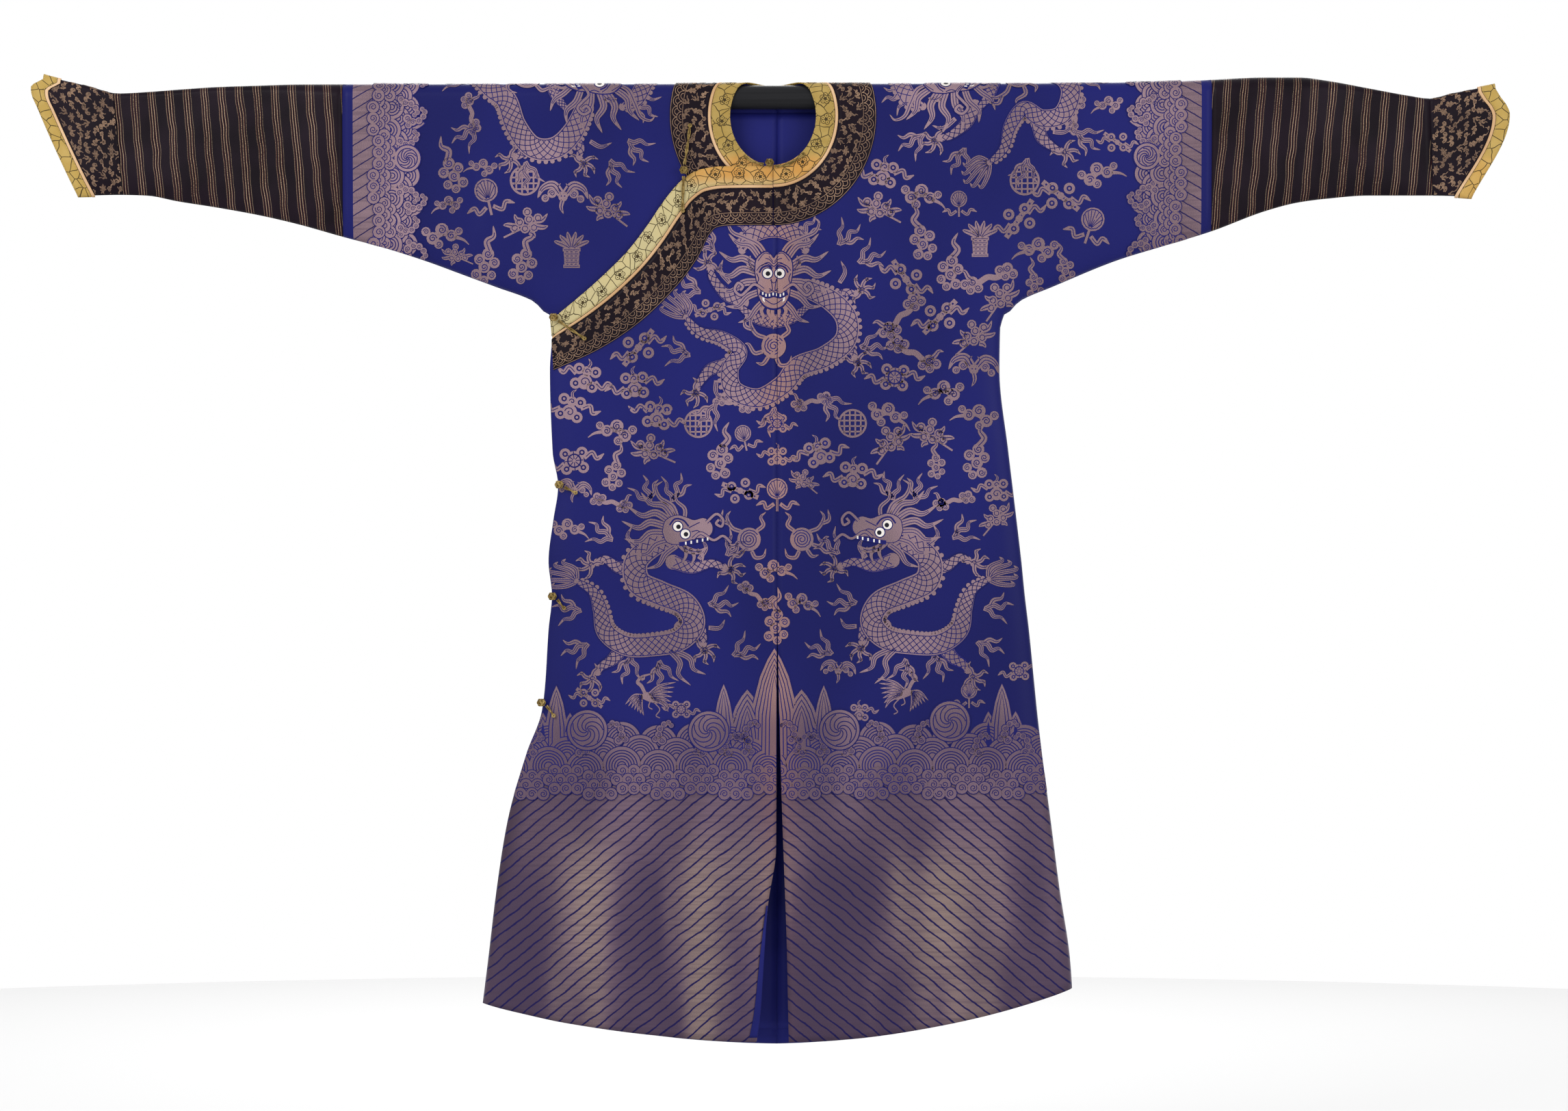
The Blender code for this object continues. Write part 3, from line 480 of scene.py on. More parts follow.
def woven_body(name):
    made, shader, across, down, space, cut = finish(name, 0.42, sheen=0.05, sheen_tint=(0.4, 0.45, 1.0))
    # Painted sheen: broad patches of the blue ground are lighter and darker, for how the satin catches the
    # light.
    broad = noise(space, (3.0, 3.0, 1.6), 2.0, 0.5).step(0.35, 0.70)
    ground = broad.colours(PAINTED_SHADE_BLUE, BLUE)
    twill = noise(cut, (1400.0, 300.0, 1.0), 1.0, 0.5)
    ground = (twill * 0.25).colours(ground, (0.018, 0.019, 0.150))
    # the standing water: gold, with slanting lines that rise to the centre and out along the sleeves
    far = down.maths("ABSOLUTE")
    out = across.maths("ABSOLUTE")
    waver = noise(cut, (26.0, 26.0, 1.0), 2.0, 0.5) * 9.0
    small = noise(cut, (160.0, 160.0, 1.0), 1.0, 0.5) * 1.6
    skirt_lines = (far + out * -0.80 + waver + small).lines(17.5, 3.1, 0.6)
    sleeve_lines = (far + out * -0.62 + small).lines(17.0, 1.9, 0.6)
    skirt = far.step(SKIRT_WATER - 1.0, SKIRT_WATER + 1.0)
    inside = out.step(SLEEVE_PLAIN + 0.6, SLEEVE_PLAIN - 0.6)
    sleeve = out.step(SLEEVE_WATER - 0.5, SLEEVE_WATER + 0.5) * inside
    gold = gold_cloth(space, cut, across)[0]
    # Painted sheen and painted shade: broad lighter and darker patches low in the gold water, where its soft
    # waves catch and lose the light.
    bands = noise(space, (6.5, 6.5, 1.5), 2.0, 0.6)
    reach = far.step(1070.0, 1190.0)
    painted_sheen = (bands.step(0.44, 0.68) * reach)
    painted_shade = bands.step(0.57, 0.38) * 0.80 * reach
    weft = noise(cut, (6.0, 240.0, 1.0), 2.0, 0.6).step(0.35, 0.75)
    field = (painted_sheen * (0.35 + thread_grain(cut) * 0.5)).colours(gold, (0.330, 0.245, 0.190))
    field = (painted_shade * 0.85).colours(field, (0.040, 0.027, 0.058))
    # Painted shade: the gold water darkens near the left side, where the front panel turns back from the
    # light.
    x, z = (space.node("SeparateXYZ", {}, {0: space}, k) * 1000.0 for k in (0, 2))
    turned = (x + (z + 900.0) * -0.24).step(-322.0, -350.0) * z.step(-880.0, -960.0)
    field = (turned * 0.8).colours(field, (0.040, 0.026, 0.042))
    # Fine streaks across the water darken it: partly the weave of its weft, partly painted sheen that leaves
    # streaks of glint between them.
    field = (weft * 0.34 + 0.10).colours(field, (0.052, 0.034, 0.058))
    field = (skirt * skirt_lines + (1.0 - skirt) * sleeve_lines).colours(field, LINE_BLUE)
    water = (skirt + sleeve).maths("MINIMUM", 1.0)
    thread = thread_grain(cut)
    wear(shader, water.colours(ground, field), twill + thread * water, 0.25, 0.0002,
         roughness=0.40 - water * 0.04 + thread * 0.12 * water, metallic=water * 0.30)
    return made


SATIN = woven_body("blue_figured_satin")


def woven_gold(name):
    made, shader, across, down, space, cut = finish(name, 0.40, metallic=0.30)
    gold, grain = gold_cloth(space, cut, across)
    wear(shader, gold, grain, 0.35, 0.0002)
    return made


GOLD = woven_gold("gold_thread_on_blue")


def plain_woven(name, dark, light, roughness=0.45, scale=900.0, sheen=0.04, metallic=0.0):
    """A plain satin of one colour, a little uneven, with the fine rib of its weave."""
    made, shader, across, down, space, cut = finish(name, roughness, metallic, sheen, light)
    rib = noise(cut, (scale, scale * 0.3, 1.0), 1.0, 0.5)
    broad = noise(space, (9.0, 9.0, 9.0), 2.0, 0.5).step(0.30, 0.70)
    wear(shader, (broad * 0.8 + rib * 0.2).colours(dark, light), rib, 0.25, 0.0002)
    return made


BLUE_INK = plain_woven("blue_ground_line", (0.0070, 0.0075, 0.074), (0.0105, 0.0105, 0.108))
LINING = plain_woven("plain_blue_silk", (0.0065, 0.0080, 0.080), (0.0120, 0.0140, 0.130), 0.5)


# ============================================================ the two halves of the robe
# Each half is one loom width that goes over the shoulder, from the front hem to the back hem, with
# the upper sleeve woven on.  The halves meet in the centre-back seam, and the left one's front is the
# short plain underlap.

ARC_ROWS = 9
BODY_FALL = np.concatenate((np.linspace(0.0, 0.96, 33)[1:], [0.985, 1.0]))
LOWER_STEPS = 106
BODY_SHARES = np.concatenate((np.linspace(0.0, 0.88, 34), [0.91, 0.935, 0.955, 0.972, 0.985, 0.994, 1.0]))
SLEEVE_COLUMNS = 36
UNDERLAP_SHARE = 0.375      # how much of the left front, below the arm, lies behind the overlap
NECK_CENTRE = (-6.0, 59.5)
NECK_HALF = (62.5, 71.5)


def neck_distance(x, s):
    """How far outside the neck's edge a place of the flat cloth lies."""
    dx, ds = x - NECK_CENTRE[0], s - NECK_CENTRE[1]
    share = np.hypot(dx / NECK_HALF[0], ds / NECK_HALF[1]) + 1e-9
    return (share - 1.0) / share * np.hypot(dx, ds)


def hem_height(x):
    return HEM_CENTRE + np.where(x < 0, HEM_RISES[-1], HEM_RISES[1]) * (x / HEM_REACH) ** 2


def ring_rows(place):
    """The flat places of one column of a sleeve, whose X is place(share of the way down)."""
    falling = place(BODY_FALL)
    length = ACROSS.read("top", falling) - ACROSS.read("fold", falling) - ACROSS.read("under", falling)
    fall = fold_quarter(falling) + BODY_FALL * length
    over = np.full(2 * ARC_ROWS + 1, float(place(np.zeros(1))[0]))
    arc = fold_quarter(over) * np.linspace(1.0, -1.0, 2 * ARC_ROWS + 1)
    return (np.concatenate((falling[::-1], over, falling)),
            np.concatenate((fall[::-1], arc, -fall)))


def lower_rows(share, side, centre_line, drop, limit):
    t = np.linspace(0.0, limit, int(LOWER_STEPS * limit) + 1)[1:]
    x = np.zeros(t.shape)
    for _ in range(6):
        z = mix(UNDERARM, hem_height(x) - drop, t)
        x = mix(centre_line(z), DOWN.read("left" if side < 0 else "right", z), share)
    return x, down_to(x, z)


def closed_grid(columns, face, at_seam, keep=None, lift=0.0):
    """The points, faces and flat places of a piece, from columns of flat places.  at_seam marks
    the points that lie on a seam."""
    places = np.array(columns).transpose(0, 2, 1)
    count, rows = places.shape[:2]
    x, s = places[..., 0].ravel(), places[..., 1].ravel()
    points = off_cloth(x, s, lift, face) if lift else on_cloth(x, s, face)
    sewn = np.ravel(at_seam)
    points[sewn] = on_cloth(x[sewn], s[sewn], face) * (1.0, 0.0, 1.0) - (0.0, 0.0, lift)
    faces = grid_faces(count, rows)
    if keep is not None:
        faces = faces[keep(x[faces].mean(1), s[faces].mean(1))]
    return points, faces, np.stack((x, s), 1)


def join_grids(name, grids, finishes):
    """One piece from grids of points, faces and flat places, welded where they meet."""
    points, faces, uv, start = [], [], [], 0
    for some_points, some_faces, some_uv in grids:
        points.append(some_points)
        faces.append(some_faces + start)
        uv.append(some_uv)
        start += len(some_points)
    piece = new_object(name, np.concatenate(points), np.concatenate(faces), np.concatenate(uv), finishes)
    weld = piece.modifiers.new("weld", "WELD")
    weld.merge_threshold = WELD
    return settle(piece)


def half(name, side, front, limit, centre_front):
    shares = BODY_SHARES[::-1] if side < 0 else BODY_SHARES
    columns, seams = [], []
    for share in shares:
        top_x = mix(0.0, ARMPIT[side], share)
        ring = ring_rows(lambda down: np.full(down.shape, top_x))
        ahead = lower_rows(share, side, centre_front, 0.0, limit)
        behind = lower_rows(share, side, lambda z: np.zeros(np.shape(z)), BACK_HEM_DROP * (1.0 - share), 1.0)
        x = np.concatenate((ahead[0][::-1], ring[0], behind[0]))
        s = np.concatenate((ahead[1][::-1], ring[1], -behind[1]))
        seam = np.zeros(len(x), bool)
        if share == 1.0:
            seam[:len(ahead[0])] = True
            seam[len(x) - len(behind[0]):] = True
            seam[[len(ahead[0]), len(x) - len(behind[0]) - 1]] = True
        columns.append((x, s))
        seams.append(seam)
    body = closed_grid(columns, front, seams, lambda x, s: neck_distance(x, s) > NECK_CUT)
    points, faces, uv = body
    near = neck_distance(uv[:, 0], uv[:, 1])
    used = np.zeros(len(points), bool)
    used[np.unique(faces)] = True
    edge = used & (near < NECK_NEAR) & (uv[:, 1] > -60.0)
    away = uv[edge] - np.array(NECK_CENTRE)
    away /= np.linalg.norm(away, axis=1, keepdims=True)
    uv[edge] += away * (NECK_CUT - near[edge])[:, None] * 0.8
    points[edge] = on_cloth(uv[edge, 0], uv[edge, 1], front)
    stations = np.linspace(ARMPIT[side], side * SLEEVE_SEAM, SLEEVE_COLUMNS)
    sleeve_columns = [ring_rows(lambda down, x=x: np.full(down.shape, x))
                      for x in (stations[::-1] if side < 0 else stations)]
    rows = len(sleeve_columns[0][0])
    ends = [np.isin(np.arange(rows), (0, rows - 1))] * SLEEVE_COLUMNS
    sleeve = closed_grid(sleeve_columns, front, ends)
    return walled(join_grids(name, [(points, faces, uv), sleeve], (SATIN, LINING)), WALL, False, 1)


half_right = half("robe_half_right", 1, "front", 1.0, lambda z: SLIT.read("right", z))
half_left = half("robe_half_left", -1, "inner", UNDERLAP_SHARE, lambda z: np.full(np.shape(z), -SEAM / 2))


# ============================================================ the overlap
# The outer front is a panel of the same satin.  It crosses from the centre seam to the wearer's right
# side, where its edge is free and is held by four ball buttons.

OVERLAP_SIDE = -326.0


def overlap_edge(x):
    """The height of the panel's upper edge, under its edging."""
    steps = np.linspace(0.0, 10.0, 301)
    edge_x, edge_z = OVERLAP.read("edge_x", steps), OVERLAP.read("edge_z", steps)
    return np.interp(-x, -edge_x, edge_z) - 2.5


def overlap_columns():
    columns = []
    for share in BODY_SHARES[::-1]:
        t = np.linspace(0.0, 1.0, LOWER_STEPS + 20)
        x = np.zeros(t.shape)
        for _ in range(8):
            z = mix(hem_height(x), overlap_edge(x), t)
            side_x = np.where(z < UNDERARM, DOWN.read("left", z), OVERLAP_SIDE)
            x = mix(SLIT.read("left", z), side_x, share)
        columns.append((x, down_to(x, z)))
    return columns


columns = overlap_columns()
unsewn = np.zeros((len(columns), len(columns[0][0])), bool)
overlap = join_grids("robe_overlap", [closed_grid(columns, "outer", unsewn)], (SATIN, LINING))
walled(overlap, WALL, False, 1)


def cut_of(piece, layer="cut"):
    """The size and the area of a piece's flat cut, from the places of its outer face."""
    mesh = piece.data
    places = np.empty(len(mesh.loops) * 2)
    mesh.uv_layers[layer].data.foreach_get("uv", places)
    places = places.reshape(-1, 2)
    mesh.calc_loop_triangles()
    corners = np.empty(len(mesh.loop_triangles) * 3, int)
    mesh.loop_triangles.foreach_get("loops", corners)
    a, b, c = places[corners.reshape(-1, 3)].transpose(1, 0, 2)
    area = np.abs((b - a)[:, 0] * (c - a)[:, 1] - (b - a)[:, 1] * (c - a)[:, 0]).sum() / 2 / 2
    size = np.ptp(places, axis=0)
    return (float(size[0]), float(size[1])), float(min(area, size[0] * size[1]))


def stands_for(piece, node):
    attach(piece, "root")
    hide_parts(node)


def hang(piece, node, pieces=()):
    """Puts a finished cloth piece in place of its plain node, and prints the size of its cut."""
    size, area = cut_of(piece)
    if area < 0.5 * size[0] * size[1]:      # a slanted strip is cut straight
        size = area / size[1], size[1]
    stands_for(piece, node)
    print(f"cut {piece.name}: {size[0]:.3f} x {size[1]:.3f} m, {area:.3f} m2")


# ============================================================ the striped sleeve extensions
# A tube of plum-black satin on each sleeve, with thirteen groups of three gold lines round the arm.
# Its upper edge is sewn to the sleeve and its lower edge to the cuff.

CUFF_SEAMS = {-1: (-969.0, -955.0), 1: (953.0, 957.0)}
WORDS = {-1: "left", 1: "right"}
PLUM = (0.0040, 0.0017, 0.0040)
PLUM_LIGHT = (0.0085, 0.0040, 0.0085)


def striped_satin(name):
    made, shader, across, down, space, cut = finish(name, 0.42)
    broad = noise(space, (14.0, 14.0, 14.0), 2.0, 0.5).step(0.3, 0.7)
    rib = noise(cut, (1300.0, 350.0, 1.0), 1.0, 0.5)
    waver = (noise(cut, (24.0, 24.0, 1.0), 1.0, 0.5) - 0.5) * 5.0
    round_arm = across.maths("ABSOLUTE") + down.maths("ABSOLUTE") * 0.085 + waver
    turn = ((round_arm - 651.0) / 25.6).maths("FRACT") * 25.6
    group = turn.step(1.6, 2.2) * turn.step(13.4, 12.8)
    line = turn.lines(3.75, 0.55, 0.25) * group
    red = (turn + 1.1).lines(3.75, 0.4, 0.3) * group
    twist = noise(cut, (260.0, 900.0, 1.0), 2.0, 0.7).step(0.35, 0.7)
    # Painted sheen: broad patches of the gold lines are brighter.
    painted_gold_sheen = noise(cut, (9.0, 7.0, 1.0), 1.0, 0.5).step(0.35, 0.65)
    gold = twist.colours((0.120, 0.070, 0.040), (0.540, 0.390, 0.240))
    gold = (painted_gold_sheen * 0.45).colours(gold, (0.600, 0.440, 0.300))
    ground = broad.colours(PLUM, PLUM_LIGHT)
    wear(shader, line.colours((red * 0.7).colours(ground, (0.090, 0.018, 0.014)), gold), rib + line * 2.0,
         0.4, 0.0003, metallic=line * 0.5)
    return made


STRIPED = striped_satin("striped_satin")
PLUM_LINING = plain_woven("plum_lining", (0.010, 0.012, 0.060), (0.020, 0.024, 0.100), 0.55)


def ends_marked(columns):
    rows = len(columns[0][0])
    return [np.isin(np.arange(rows), (0, rows - 1))] * len(columns)


def tube(name, side, starts, ends, count, finishes, wall, lift=0.0):
    """A tube of cloth round the arm, between two lines that give X by the share of the way down."""
    along = np.linspace(0.0, 1.0, count)
    columns = [ring_rows(lambda down, t=t: mix(starts(down), ends(down), t)) for t in along]
    if side < 0:
        columns.reverse()
    grid = closed_grid(columns, "front", ends_marked(columns), lift=lift)
    return walled(join_grids(name, [grid], finishes), wall, lift > 0.0, 1 if len(finishes) > 1 else 0)


def line_at(side, gap):
    top, under = CUFF_SEAMS[side]
    return lambda down: mix(top, under, down) + side * gap


extensions = {}
for side, word in WORDS.items():
    extensions[side] = tube("sleeve_extension_" + word + "_cloth", side,
                            lambda down: np.full(down.shape, side * (SLEEVE_SEAM + SEAM)),
                            line_at(side, 0.0), 40, (STRIPED, PLUM_LINING), WALL)


# ============================================================ the flared cuffs
# Each hoof-shaped cuff is plum satin figured in gold, edged with peach piping and yellow satin.

CUFF_TRIM_WIDTH, CUFF_PIPING = 20.0, 4.5
PLUM_SATIN = plain_woven("plum_figured_satin", PLUM, PLUM_LIGHT, 0.42, 1200.0, 0.0)


def hoof(word):
    return lambda down: HOOF.read(word, down)


cuffs = {}
for side, word in WORDS.items():
    cuffs[side] = tube("cuff_" + word + "_cloth", side, line_at(side, SEAM), hoof(word), 18,
                       (PLUM_SATIN, PLUM_LINING), WALL)


# ============================================================ the yellow edging
# A strip of yellow satin, woven with cracked ice and plum blossoms, binds the neck, the overlap and the cuffs.
# Light and shade are painted into its colour by place: it is olive round the neck, orange under it and pale
# green-yellow on the slant.

TRIM_WIDTH, PIPING_WIDTH, BAND_WIDTH = 28.0, 5.0, 55.0
BAND_START = TRIM_WIDTH + PIPING_WIDTH
BAND_END = BAND_START + BAND_WIDTH
TRIM_WALL, PIPING_WALL, LAY_GAP = 1.4, 2.0, 0.5
RING_START, RING_BACK, RING_END = 89.75, -90.0, -256.0


def cracked_ice(name):
    made, shader, across, down, space, cut = finish(name, 0.45)
    bent = noise(cut, (60.0, 60.0, 1.0), 1.0, 0.5)
    cells = cut.node("VectorMath", {"operation": "ADD"}, {0: cut, 1: stretched(bent, (0.006, 0.004, 0.0))})
    crack = cells.node("TexVoronoi", {"feature": "DISTANCE_TO_EDGE", "voronoi_dimensions": "2D"},
                       {"Vector": cells, "Scale": 68.0, "Randomness": 1.0}).step(0.052, 0.026)
    x, z = (space.node("SeparateXYZ", {}, {0: space}, k) * 1000.0 for k in (0, 2))
    # Painted light and shade: the one satin is olive round the neck, orange under it, pale on the slant and
    # deeper on the cuffs, for how its sheen changes as the strip turns.
    olive, orange, pale = (0.300, 0.200, 0.052), (0.460, 0.225, 0.055), (0.440, 0.380, 0.205)
    under = z.step(-78.0, -96.0) * x.step(-150.0, -110.0)
    slant = z.step(-112.0, -140.0) * x.maths("ABSOLUTE").step(600.0, 500.0)
    cuff = x.maths("ABSOLUTE").step(600.0, 700.0)
    ground = under.colours(olive, orange)
    ground = slant.colours(ground, pale)
    ground = (cuff * 0.6).colours(ground, (0.440, 0.290, 0.075))
    rib = noise(cut, (1500.0, 300.0, 1.0), 2.0, 0.6)
    soft = noise(space, (40.0, 40.0, 40.0), 2.0, 0.6).step(0.35, 0.75)
    ground = (soft * 0.22).colours(ground, (0.560, 0.430, 0.180))
    ground = (rib * 0.18).colours(ground, (0.200, 0.140, 0.040))
    wear(shader, (crack * 0.92).colours(ground, (0.030, 0.022, 0.010)), rib - crack * 0.6, 0.3, 0.0002)
    return made


EDGING = cracked_ice("yellow_figured_satin")
PEACH = plain_woven("peach_satin", (0.400, 0.230, 0.105), (0.620, 0.420, 0.250), 0.45, 1100.0)
ICE_INK = plain_woven("edging_line", (0.030, 0.020, 0.008), (0.060, 0.042, 0.018), 0.6)


def neck_place(degrees, outwards):
    """A place of the flat cloth at an angle round the neck, so far outside the neck's edge."""
    angle = np.radians(degrees)
    cos, sin = np.cos(angle), np.sin(angle)
    normal = np.stack((cos / NECK_HALF[0], sin / NECK_HALF[1]), -1)
    normal /= np.linalg.norm(normal, axis=-1, keepdims=True)
    return (NECK_CENTRE[0] + NECK_HALF[0] * cos + normal[..., 0] * outwards,
            NECK_CENTRE[1] + NECK_HALF[1] * sin + normal[..., 1] * outwards)


def overlap_place(step, inwards):
    """A place of the flat cloth along the overlap's edge, so far from the edge into the band."""
    share = inwards / BAND_END
    x = mix(OVERLAP.read("edge_x", step), OVERLAP.read("outer_x", step), share)
    z = mix(OVERLAP.read("edge_z", step), OVERLAP.read("outer_z", step), share)
    return x, down_to(x, z)


# Each run of edging: where its middle lies, from start to end, and the front that it lies on.
RUNS = {
    "neck": ((neck_place, RING_START, RING_BACK, 50, "front"),
             (neck_place, RING_BACK, RING_END, 46, "inner")),
    "overlap": ((overlap_place, 0.0, 9.82, 74, "outer"),)}


def domed(t):
    return np.sqrt(np.maximum(1.0 - (2.0 * t - 1.0) ** 2, 0.0))


def strip(name, run, near, far, cells, wall, its_finish, profile=None):
    """A strip laid along a run of edging, from near to far of the edge.  Its own UV map runs along
    it and across it."""
    points, faces, uv, length = [], [], [], 0.0
    for place, first, last, steps, face in RUNS[run]:
        along = np.linspace(first, last, steps + 1)[:, None]
        across = np.linspace(0.0, 1.0, cells + 1)[None, :]
        x, s = place(along + 0.0 * across, mix(near, far, across) + 0.0 * along)
        lift = LAY_GAP + (0.0 if profile is None else (wall - 0.2) * profile(across)) + 0.0 * x
        grid = off_cloth(x, s, lift, face)
        steps_long = np.linalg.norm(np.diff(grid[:, cells // 2], axis=0), axis=1)
        run_along = length + np.concatenate(([0.0], np.cumsum(steps_long)))
        length = run_along[-1]
        points.append(grid.reshape(-1, 3))
        flat = np.stack((run_along[:, None] + 0.0 * x, mix(near, far, across) + 0.0 * x), -1)
        uv.append(flat.reshape(-1, 2))
        these = grid_faces(steps + 1, cells + 1)
        a, b, c = points[-1][these[len(these) // 2, :3]]
        outwards = np.cross(b - a, c - a)[1] < 0.0
        faces.append(these if outwards else these[:, ::-1])
    piece = join_grids(name, list(zip(points, faces, uv)), (its_finish,))
    return walled(piece, wall, True) if profile is None else piece


LAYERS = (
    ("trim", 0.0, TRIM_WIDTH - SEAM, 6, TRIM_WALL, EDGING, None),
    ("piping", TRIM_WIDTH, BAND_START - SEAM, 8, PIPING_WALL, PEACH, domed),
    ("band", BAND_START, BAND_END, 10, WALL, PLUM_SATIN, None))
edge_pieces = {}
for run in RUNS:
    for kind, near, far, cells, wall, of_what, profile in LAYERS:
        edge_pieces[run, kind] = strip(run + "_" + kind + "_strip", run, near, far, cells, wall, of_what,
                                       profile)


def inside_hoof(side, word, distance):
    return lambda down: HOOF.read(word, down) - side * distance


for side, word in WORDS.items():
    edge_pieces[word, "trim"] = tube("cuff_trim_" + word + "_strip", side,
                                     inside_hoof(side, word, CUFF_TRIM_WIDTH), hoof(word), 5,
                                     (EDGING,), TRIM_WALL, LAY_GAP)
    near = CUFF_TRIM_WIDTH + 2 * SEAM
    edge_pieces[word, "piping"] = tube("cuff_piping_" + word + "_strip", side,
                                       inside_hoof(side, word, near + CUFF_PIPING),
                                       inside_hoof(side, word, near), 4, (PEACH,), PIPING_WALL - 0.4, LAY_GAP)


# ============================================================ the lining that shows
# The robe is lined with plain blue silk.  It is seen inside the neck and the slit, and it turns out a
# little along the slit's left edge near the hem.

LINING_TOP, LINING_FOOT_SHARE, LINING_SIDE = -21.0, 0.985, 0.86


def back_lining(name, side):
    columns = []
    for share in np.linspace(0.0, LINING_SIDE, 30)[::-side]:
        t = np.linspace(0.0, 1.0, 110)
        x = np.full(t.shape, side * SEAM / 2)
        for _ in range(6):
            z = mix(LINING_TOP, mix(UNDERARM, hem_height(x), LINING_FOOT_SHARE), t)
            edge = np.where(z < UNDERARM, DOWN.read(WORDS[side], z), ARMPIT[side])
            x = mix(side * SEAM / 2, edge, share)
        columns.append((x, -down_to(x, z)))
    grid = closed_grid(columns, "front", np.zeros((len(columns), len(columns[0][0])), bool))
    ripple = 0.5 * np.sin(grid[2][:, 0] / 23.0 + grid[2][:, 1] / 90.0)
    grid[0][:, 1] -= WALL + 0.8 + 0.5 * ripple
    piece = join_grids(name, [grid], (LINING,))
    return walled(piece, 0.8)


linings = {side: back_lining("lining_" + word + "_cloth", side) for side, word in WORDS.items()}

TURN_FOOT, TURN_TOP, TURN_WIDE, TURN_NARROW = -1372.0, -1180.0, 12.0, 2.5
columns = []
for share in np.linspace(0.0, 1.0, 6):
    z = np.linspace(TURN_FOOT, TURN_TOP, 40)
    width = mix(TURN_WIDE, TURN_NARROW, (z - TURN_FOOT) / (TURN_TOP - TURN_FOOT))
    x = mix(SLIT.read("left", z) - width, SLIT.read("left", z) - 0.2, share)
    columns.append((x, down_to(x, z)))
turned = closed_grid(columns, "outer", np.zeros((6, 40), bool), lift=0.9)
slit_lining = walled(join_grids("slit_lining_cloth", [turned], (LINING,)), 0.9, True)


# ============================================================ ball buttons and cord loops
# Six knotted ball buttons and their loops, of gold cord.  Two strands lie side by side in a loop.

ON_TRIM, ON_SIDE = LAY_GAP + PIPING_WALL + SEAM, 3.5
KNOT_RADIUS, CORD_RADIUS = 6.2, 1.9
ROUND_CORD = 0.008      # the width of the UV map round a cord, in metres


def gold_cord(name):
    made, shader, across, down, space, cut = finish(name, 0.42, metallic=0.55)
    # Painted shade: dark lines follow the twist of the cord, where the grooves between its plies fall in
    # shadow.
    twist = (across * 0.9 + down * 1.0).lines(2.0, 0.55, 0.5)
    age = noise(space, (120.0, 120.0, 120.0), 2.0, 0.6).step(0.35, 0.7)
    base = age.colours((0.150, 0.098, 0.030), (0.420, 0.300, 0.110))
    fine = noise(space, (1500.0, 1500.0, 1500.0), 2.0, 0.6)
    wear(shader, (twist * 0.6).colours(base, (0.050, 0.032, 0.010)), fine - twist, 0.5, 0.0004)
    return made


CORD = gold_cord("gold_cord")


def new_tree(name, result, numbers):
    """A Geometry Nodes tree that takes a path, named numbers and a finish, and gives a mesh."""
    tree = bpy.data.node_groups.new(name, "GeometryNodeTree")
    for word, kind in (("Path", "Geometry"), *((number, "Float") for number in numbers),
                       ("Finish", "Material")):
        tree.interface.new_socket(word, in_out="INPUT", socket_type="NodeSocket" + kind)
    tree.interface.new_socket(result, in_out="OUTPUT", socket_type="NodeSocketGeometry")
    return tree, tree.nodes


def link_all(tree, rows):
    """Links one node's output to another's input, row by row."""
    for start, output, end, socket in rows:
        tree.links.new(start.outputs[output], end.inputs[socket])


def cord_tree():
    """Runs a round cord along a path of edges, with UVs along and round it."""
    tree, nodes = new_tree("round_cord", "Cord", ("Radius", "Spacing"))
    given, result = nodes.new("NodeGroupInput"), nodes.new("NodeGroupOutput")
    curve, resample = nodes.new("GeometryNodeMeshToCurve"), nodes.new("GeometryNodeResampleCurve")
    resample.mode = "LENGTH"
    ring, sweep = nodes.new("GeometryNodeCurvePrimitiveCircle"), nodes.new("GeometryNodeCurveToMesh")
    ring.inputs["Resolution"].default_value = 8
    length, factor = nodes.new("GeometryNodeSplineParameter"), nodes.new("GeometryNodeSplineParameter")
    store = nodes.new("GeometryNodeStoreNamedAttribute")
    around, place = nodes.new("GeometryNodeStoreNamedAttribute"), nodes.new("ShaderNodeCombineXYZ")
    first, second = nodes.new("GeometryNodeInputNamedAttribute"), nodes.new("GeometryNodeInputNamedAttribute")
    cut = nodes.new("GeometryNodeStoreNamedAttribute")
    realize, paint = nodes.new("GeometryNodeRealizeInstances"), nodes.new("GeometryNodeSetMaterial")
    for named, word in ((store, "along"), (around, "around")):
        named.domain, named.data_type = "POINT", "FLOAT"
        named.inputs["Name"].default_value = word
    for named, word in ((first, "along"), (second, "around")):
        named.data_type = "FLOAT"
        named.inputs["Name"].default_value = word
    sweep.inputs["Fill Caps"].default_value = True
    scale = nodes.new("ShaderNodeMath")
    scale.operation = "MULTIPLY"
    scale.inputs[1].default_value = ROUND_CORD
    cut.domain, cut.data_type = "CORNER", "FLOAT2"
    cut.inputs["Name"].default_value = "cut"
    link_all(tree, (
        (given, "Path", curve, 0), (curve, 0, resample, "Curve"), (given, "Spacing", resample, "Length"),
        (resample, 0, store, "Geometry"), (length, "Length", store, "Value"),
        (given, "Radius", ring, "Radius"), (ring, 0, around, "Geometry"), (factor, "Factor", around, "Value"),
        (store, 0, sweep, "Curve"), (around, 0, sweep, "Profile Curve"),
        (first, 0, place, 0), (second, 0, scale, 0), (scale, 0, place, 1),
        (sweep, 0, cut, "Geometry"), (place, 0, cut, "Value"), (cut, 0, realize, 0),
        (realize, 0, paint, "Geometry"), (given, "Finish", paint, "Material"), (paint, 0, result, 0)))
    return tree


def grow(piece, tree, **values):
    """Runs a Geometry Nodes tree on a piece, with its inputs set, and keeps the plain result."""
    growth = piece.modifiers.new("growth", "NODES")
    growth.node_group = tree
    for item in tree.interface.items_tree:
        if item.in_out == "INPUT" and item.name in values:
            growth[item.identifier] = values[item.name]
    return settle(piece)


CORD_TREE = cord_tree()


